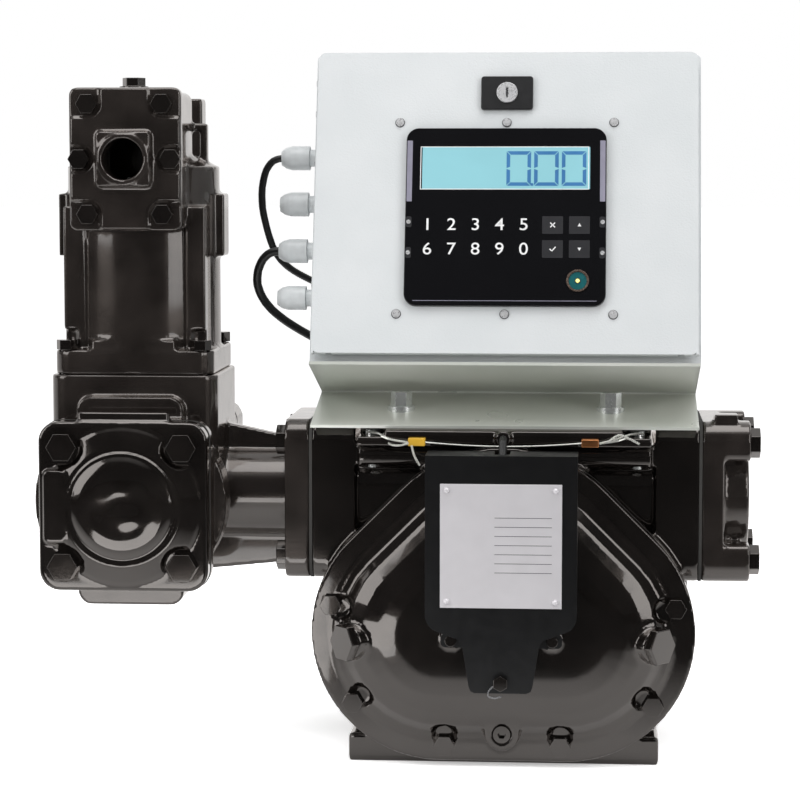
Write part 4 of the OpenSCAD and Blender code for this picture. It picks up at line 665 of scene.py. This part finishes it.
def rounded(x, z, w, h, r, steps=CORNER_STEPS):
    """A rectangle about x, z with round corners."""
    points = []
    for cx, cz, start in ((1, 1, 0), (-1, 1, 90), (-1, -1, 180), (1, -1, 270)):
        for k in range(steps + 1):
            a = math.radians(start + 90 * k / steps)
            points.append((x + cx * (w / 2 - r) + r * math.cos(a), z + cz * (h / 2 - r) + r * math.sin(a)))
    return points


def disc(x, z, d, steps=CORNER_STEPS):
    """A circle of diameter d about x, z."""
    return rounded(x, z, d, d, d / 2, steps)


# Ruled lines of the bare nameplate
RULE_LEFT = -4.0
RULE_RIGHT = 31.7
RULE_TOP = 165.7
RULE_PITCH = 5.75
RULE_COUNT = 7
RULE_W = 0.35
RULE_LIFT = 0.03
RULE_T = 0.08


def nameplate_lines():
    plate_y = min(vertex.co.y for vertex in nodes["nameplate"].data.vertices) / MM
    rules = []
    for row in range(RULE_COUNT):
        low = RULE_TOP - row * RULE_PITCH
        high = low + RULE_W
        rules.append([(RULE_LEFT, low), (RULE_RIGHT, low), (RULE_RIGHT, high), (RULE_LEFT, high)])
    slabs("nameplate_lines", rules, on_meter, plate_y - RULE_LIFT, RULE_T, "meter", "plate_ink")


# Small screw heads on the left side of the enclosure, in its own frame
SIDE_X = -125
SIDE_DEPTH = 22
SIDE_HEIGHTS = (192, 171, 138, 56)
HEAD_R = 2.1
HEAD_OUT = 1.2
HEAD_IN = 0.4
HEAD_SIDES = 16


def side_screws():
    for index, height in enumerate(SIDE_HEIGHTS):
        x, y, z = on_door(SIDE_X, height, SIDE_DEPTH) / MM
        ends = [(x - HEAD_OUT, y, z), (x + HEAD_IN, y, z)]
        tube("side_screw_" + str(index + 1), ends, HEAD_R, "meter", "bright_steel", HEAD_SIDES)


# Seven-segment digits of the display, three zeros with a point after the first
DIGIT_COUNT = 3
DIGIT_W = 15.7
DIGIT_H = 23.0
DIGIT_PITCH = 17.7
DIGIT_LEFT = 0.3
DIGIT_Z = 115.1
SEGMENT = 2.3
SLIT = 0.35
POINT_BEFORE = 1.3
POINT_UP = 0.9
POINT_SIZE = 1.8
POINT_R = 0.5


def segments_of_zero(x0, z0):
    """The six bars of a zero whose lower left corner is at x0, z0."""
    w, h, t, g = DIGIT_W, DIGIT_H, SEGMENT, SLIT
    top = [(g, h), (w - g, h), (w - t - g, h - t), (t + g, h - t)]
    bottom = [(x, h - z) for x, z in top]
    left_high = [(0, h - g), (t, h - t - g), (t, h / 2 + t / 2), (0, h / 2 + g)]
    left_low = [(x, h - z) for x, z in left_high]
    right_high = [(w - x, z) for x, z in left_high]
    right_low = [(w - x, h - z) for x, z in left_high]
    return [[(x0 + x, z0 + z) for x, z in part]
            for part in (top, bottom, left_high, left_low, right_high, right_low)]


def display_digits():
    outlines = []
    for index in range(DIGIT_COUNT):
        outlines += segments_of_zero(DIGIT_LEFT + index * DIGIT_PITCH, DIGIT_Z)
    point_x = DIGIT_LEFT + DIGIT_PITCH - POINT_BEFORE
    outlines.append(rounded(point_x, DIGIT_Z + POINT_UP, POINT_SIZE, POINT_SIZE, POINT_R))
    plates("display_digits", outlines, "lcd_segment", DIGIT_LIFT)


# Numerals of the touch keys: two rows of five, with the font's size as a share of the numeral's height
KEY_COLUMNS = 5
KEY_LEFT = -49.8
KEY_PITCH = 15.4
KEY_Z = (89.2, 73.1)
NUMERAL_H = 7
NUMERAL_SIZE_SHARE = 1.6
NUMERAL_WIDTH_SHARE = 1.12
NUMERAL_T = 0.04
NUMERAL_BOLD = 0.03


def numeral(text, x, z):
    """A printed numeral, centred on x, z."""
    curve = bpy.data.curves.new("key_" + text, "FONT")
    curve.body = text
    curve.align_x = "CENTER"
    curve.align_y = "CENTER"
    curve.size = NUMERAL_H * MM * NUMERAL_SIZE_SHARE
    curve.extrude = NUMERAL_T * MM
    curve.offset = NUMERAL_BOLD * MM
    holder = bpy.data.objects.new("key_" + text, curve)
    bpy.context.scene.collection.objects.link(holder)
    bpy.context.view_layer.update()
    mesh = bpy.data.meshes.new_from_object(holder.evaluated_get(bpy.context.evaluated_depsgraph_get()))
    bpy.data.objects.remove(holder)
    mesh.transform(Matrix.Diagonal((NUMERAL_WIDTH_SHARE, 1, 1, 1)))
    upright = Matrix.Rotation(math.pi / 2, 4, "X")
    mesh.transform(TO_DOOR @ Matrix.Translation((x * MM, (BEZEL_Y - PRINT_LIFT) * MM, z * MM)) @ upright)
    return link("key_" + text, mesh, "door", "white_print")


def numerals():
    for column in range(KEY_COLUMNS):
        for row, z in enumerate(KEY_Z):
            label = (column + 1 + row * KEY_COLUMNS) % (2 * KEY_COLUMNS)
            numeral(str(label), KEY_LEFT + column * KEY_PITCH, z)


# Command keys: a cross over a tick on the left, an arrow up over an arrow down on the right
COMMAND_X = (30.2, 47.3)
COMMAND_Z = (89.2, 73.4)
COMMAND_W = 13.3
COMMAND_H = 11.6
COMMAND_R = 0.6
ARROW_HALF = 1.2
ARROW_TIP = 1.2
ARROW_FOOT = 0.9
STROKE = 0.7
CROSS_L = 4.4
CROSS_TURN = 45
TICK_SHORT = 2.0
TICK_SHORT_AT = (-1.1, -0.6)
TICK_SHORT_TURN = -45
TICK_LONG = 3.6
TICK_LONG_X = 0.8
TICK_LONG_TURN = 50


def arrow(x, z, up):
    """A triangle about x, z that points up where up is 1 and down where it is -1."""
    foot = z - up * ARROW_FOOT
    return [(x - ARROW_HALF, foot), (x + ARROW_HALF, foot), (x, z + up * ARROW_TIP)]


def bar(x, z, length, turn):
    """A stroke about x, z, turned by that many degrees."""
    a = math.radians(turn)
    c, s = math.cos(a), math.sin(a)
    corners = ((-length, -STROKE), (length, -STROKE), (length, STROKE), (-length, STROKE))
    return [(x + (p * c - q * s) / 2, z + (p * s + q * c) / 2) for p, q in corners]


def command_keys():
    fields = [rounded(x, z, COMMAND_W, COMMAND_H, COMMAND_R) for x in COMMAND_X for z in COMMAND_Z]
    plates("command_keys", fields, "key_field", KEY_LIFT)
    left, right = COMMAND_X
    high, low = COMMAND_Z
    symbols = [arrow(right, high, 1), arrow(right, low, -1)]
    symbols += [bar(left, high, CROSS_L, turn) for turn in (CROSS_TURN, -CROSS_TURN)]
    symbols.append(bar(left + TICK_SHORT_AT[0], low + TICK_SHORT_AT[1], TICK_SHORT, TICK_SHORT_TURN))
    symbols.append(bar(left + TICK_LONG_X, low, TICK_LONG, TICK_LONG_TURN))
    plates("command_symbols", symbols, "white_print", SYMBOL_LIFT)


# Trim of the bezel: two side strips, a line across, two small screws a side in their recesses and a border
# round the window
SIDES = (-1, 1)
STRIP_X = 61.9
STRIP_Z = 125.0
STRIP_W = 3.4
STRIP_H = 40.5
STRIP_R = 0.3
LINE_Z = 39.4
LINE_W = 117
LINE_H = 0.4
LINE_R = 0.1
BEZEL_SCREW_X = 62.0
BEZEL_SCREW_Z = (91.2, 70.9)
BEZEL_SCREW_D = 2.8
BEZEL_SCREW_T = 0.4
RECESS_X = 61.8
RECESS_W = 3.6
RECESS_H = 7.2
RECESS_R = 1.2
WINDOW_X = (-54.8, 52.8)
WINDOW_Z = (112.9, 141.0)
BORDER = 0.5
BORDER_R = 0.1


def bezel_trim():
    strips = [rounded(side * STRIP_X, STRIP_Z, STRIP_W, STRIP_H, STRIP_R) for side in SIDES]
    plates("side_strips", strips, "grey_strip")
    plates("bezel_line", [rounded(0, LINE_Z, LINE_W, LINE_H, LINE_R)], "grey_strip")
    screws = [disc(side * BEZEL_SCREW_X, z, BEZEL_SCREW_D) for side in SIDES for z in BEZEL_SCREW_Z]
    plates("bezel_screws", screws, "bright_steel", SCREW_LIFT, BEZEL_SCREW_T)
    recesses = [rounded(side * RECESS_X, z, RECESS_W, RECESS_H, RECESS_R)
                for side in SIDES for z in BEZEL_SCREW_Z]
    plates("bezel_recesses", recesses, "key_field", RECESS_LIFT)
    span_x = WINDOW_X[1] - WINDOW_X[0]
    span_z = WINDOW_Z[1] - WINDOW_Z[0]
    across = [rounded(sum(WINDOW_X) / 2, z, span_x + BORDER, BORDER, BORDER_R) for z in WINDOW_Z]
    upright = [rounded(x, sum(WINDOW_Z) / 2, BORDER, span_z, BORDER_R) for x in WINDOW_X]
    plates("window_border", across + upright, "white_print", BORDER_LIFT)


# Each door screw sits in a ring of painted shade on the door's face, and the small socket in its head is a
# disc of painted shade
STUD_X = 69
STUD_Z = (158.5, 31.5)
STUD_R = 2.6
STUD_HEAD = STUD_R / 2
RING_GAP = 0.55
RING_LIFT = 0.06
RING_STEPS = 5
SOCKET_D = 1.5
SOCKET_LIFT = 0.04
SOCKET_STEPS = 3


def door_screws():
    studs = [(x, z) for x in (-STUD_X, 0, STUD_X) for z in STUD_Z]
    shadow_rings = [disc(x, z, 2 * (STUD_R + RING_GAP), RING_STEPS) for x, z in studs]
    slabs("screw_shadow_rings", shadow_rings, on_door, -RING_LIFT, PLATE_T, "door", "dark_recess")
    socket_shades = [disc(x, z, SOCKET_D, SOCKET_STEPS) for x, z in studs]
    slabs("screw_socket_shades", socket_shades, on_door, -STUD_HEAD - SOCKET_LIFT, PLATE_T, "door", "dark_recess")


# The round key reader: a green disc with a small light in its middle
READER_AT = (46.4, 52.6)
READER_D = 11.6
READER_STEPS = 10
LIGHT_D = 2.4
LIGHT_T = 0.2


def key_reader():
    plates("reader_disc", [disc(*READER_AT, READER_D, READER_STEPS)], "reader_green", READER_LIFT)
    plates("reader_light", [disc(*READER_AT, LIGHT_D)], "led_yellow", LIGHT_LIFT, LIGHT_T)


# Floor and room: white to the camera, plain on the object, and in reflections bright behind and above and
# dark in front
FLOOR_SIZE = 30
FLOOR_AT = (0, 6, 0)
FLOOR_GAIN = 2.2
FLOOR_WHITE = 0.75
FLOOR_DARK = 0.04
FLOOR_LIFT = 0.35
FLOOR_NEAR = -0.18
FLOOR_FAR = -0.45
ROOM_LIGHT = 0.34
ROOM_FRONT = 0.05
ROOM_BACK = 0.9
ROOM_TOP = 1.0
BACK_FROM = -0.05
BACK_TO = 0.55
TOP_FROM = 0.6
TOP_TO = 0.95


def between(tree, factor, low, high):
    """Low where the factor is 0 and high where it is 1; each may be a number or a socket."""
    mix = tree.nodes.new("ShaderNodeMix")
    mix.data_type = "FLOAT"
    tree.links.new(factor, mix.inputs["Factor"])
    for socket, value in ((mix.inputs["A"], low), (mix.inputs["B"], high)):
        if isinstance(value, (int, float)):
            socket.default_value = value
        else:
            tree.links.new(value, socket)
    return mix.outputs["Result"]


def graded(tree, output, axis, limits):
    """A ramp along one axis; limits are from where, to where, and the two levels."""
    parts = tree.nodes.new("ShaderNodeSeparateXYZ")
    ramp = tree.nodes.new("ShaderNodeMapRange")
    for name, value in zip(("From Min", "From Max", "To Min", "To Max"), limits):
        ramp.inputs[name].default_value = value
    tree.links.new(output, parts.inputs[0])
    tree.links.new(parts.outputs[axis], ramp.inputs["Value"])
    return ramp.outputs["Result"]


def lay_floor():
    bpy.ops.mesh.primitive_plane_add(size=FLOOR_SIZE, location=FLOOR_AT)
    floor = bpy.context.object
    floor.name = "floor"
    made = bpy.data.materials.new("floor")
    made.use_nodes = True
    tree = made.node_tree
    tree.nodes.remove(tree.nodes["Principled BSDF"])
    matt = tree.nodes.new("ShaderNodeBsdfDiffuse")
    lift = tree.nodes.new("ShaderNodeEmission")
    path = tree.nodes.new("ShaderNodeLightPath")
    here = tree.nodes.new("ShaderNodeNewGeometry")
    both = tree.nodes.new("ShaderNodeAddShader")
    near = graded(tree, here.outputs["Position"], "Y", (FLOOR_FAR, FLOOR_NEAR, FLOOR_DARK, 1))
    white = between(tree, path.outputs["Is Glossy Ray"], FLOOR_WHITE, near)
    tree.links.new(between(tree, path.outputs["Is Camera Ray"], white, FLOOR_GAIN), matt.inputs["Color"])
    glow = between(tree, path.outputs["Is Glossy Ray"], 0, near)
    glow = between(tree, path.outputs["Is Camera Ray"], glow, 1)
    lift.inputs["Color"].default_value = (FLOOR_LIFT, FLOOR_LIFT, FLOOR_LIFT, 1)
    tree.links.new(glow, lift.inputs["Strength"])
    tree.links.new(matt.outputs[0], both.inputs[0])
    tree.links.new(lift.outputs[0], both.inputs[1])
    tree.links.new(both.outputs[0], tree.nodes["Material Output"].inputs["Surface"])
    floor.data.materials.append(made)


def light_room():
    """The world's light, and the view transform that shows it plainly."""
    world = bpy.data.worlds.new("studio")
    bpy.context.scene.world = world
    world.use_nodes = True
    tree = world.node_tree
    sky = tree.nodes["Background"]
    sky.inputs["Color"].default_value = (1, 1, 1, 1)
    path = tree.nodes.new("ShaderNodeLightPath")
    place = tree.nodes.new("ShaderNodeTexCoord")
    behind = graded(tree, place.outputs["Generated"], "Y", (BACK_FROM, BACK_TO, ROOM_FRONT, ROOM_BACK))
    above = graded(tree, place.outputs["Generated"], "Z", (TOP_FROM, TOP_TO, 0, ROOM_TOP))
    shown = tree.nodes.new("ShaderNodeMath")
    shown.operation = "MAXIMUM"
    tree.links.new(behind, shown.inputs[0])
    tree.links.new(above, shown.inputs[1])
    level = between(tree, path.outputs["Is Glossy Ray"], ROOM_LIGHT, shown.outputs[0])
    tree.links.new(between(tree, path.outputs["Is Camera Ray"], level, 1), sky.inputs["Strength"])
    bpy.context.scene.view_settings.view_transform = "Standard"


# Where each lamp stands, where it points, its size and its watts
LAMPS = {
    "top_light": ((0.1, -0.45, 1.7), (0, 0, 0.2), (1.6, 0.9), 15),
    "left_light": ((-1.6, -1.1, 0.9), (-0.1, 0, 0.2), (0.9, 1.3), 13),
    "right_light": ((1.5, -1.2, 0.8), (0.1, 0, 0.15), (0.8, 1.3), 11),
    "low_card": ((-0.26, -0.36, 0.02), (-0.24, -0.1, 0.15), (0.24, 0.12), 0.35),
}


def softbox(name, at, aim, size, power):
    data = bpy.data.lights.new(name, "AREA")
    data.shape = "RECTANGLE"
    data.size = size[0]
    data.size_y = size[1]
    data.energy = power
    lamp = bpy.data.objects.new(name, data)
    bpy.context.scene.collection.objects.link(lamp)
    lamp.location = at
    lamp.rotation_euler = (Vector(aim) - Vector(at)).to_track_quat("-Z", "Y").to_euler()
    lamp.visible_camera = False


dress_nodes()
wires()
nameplate_lines()
side_screws()
display_digits()
numerals()
command_keys()
bezel_trim()
door_screws()
key_reader()
lay_floor()
light_room()
for lamp_name, setting in LAMPS.items():
    softbox(lamp_name, *setting)
set_camera()
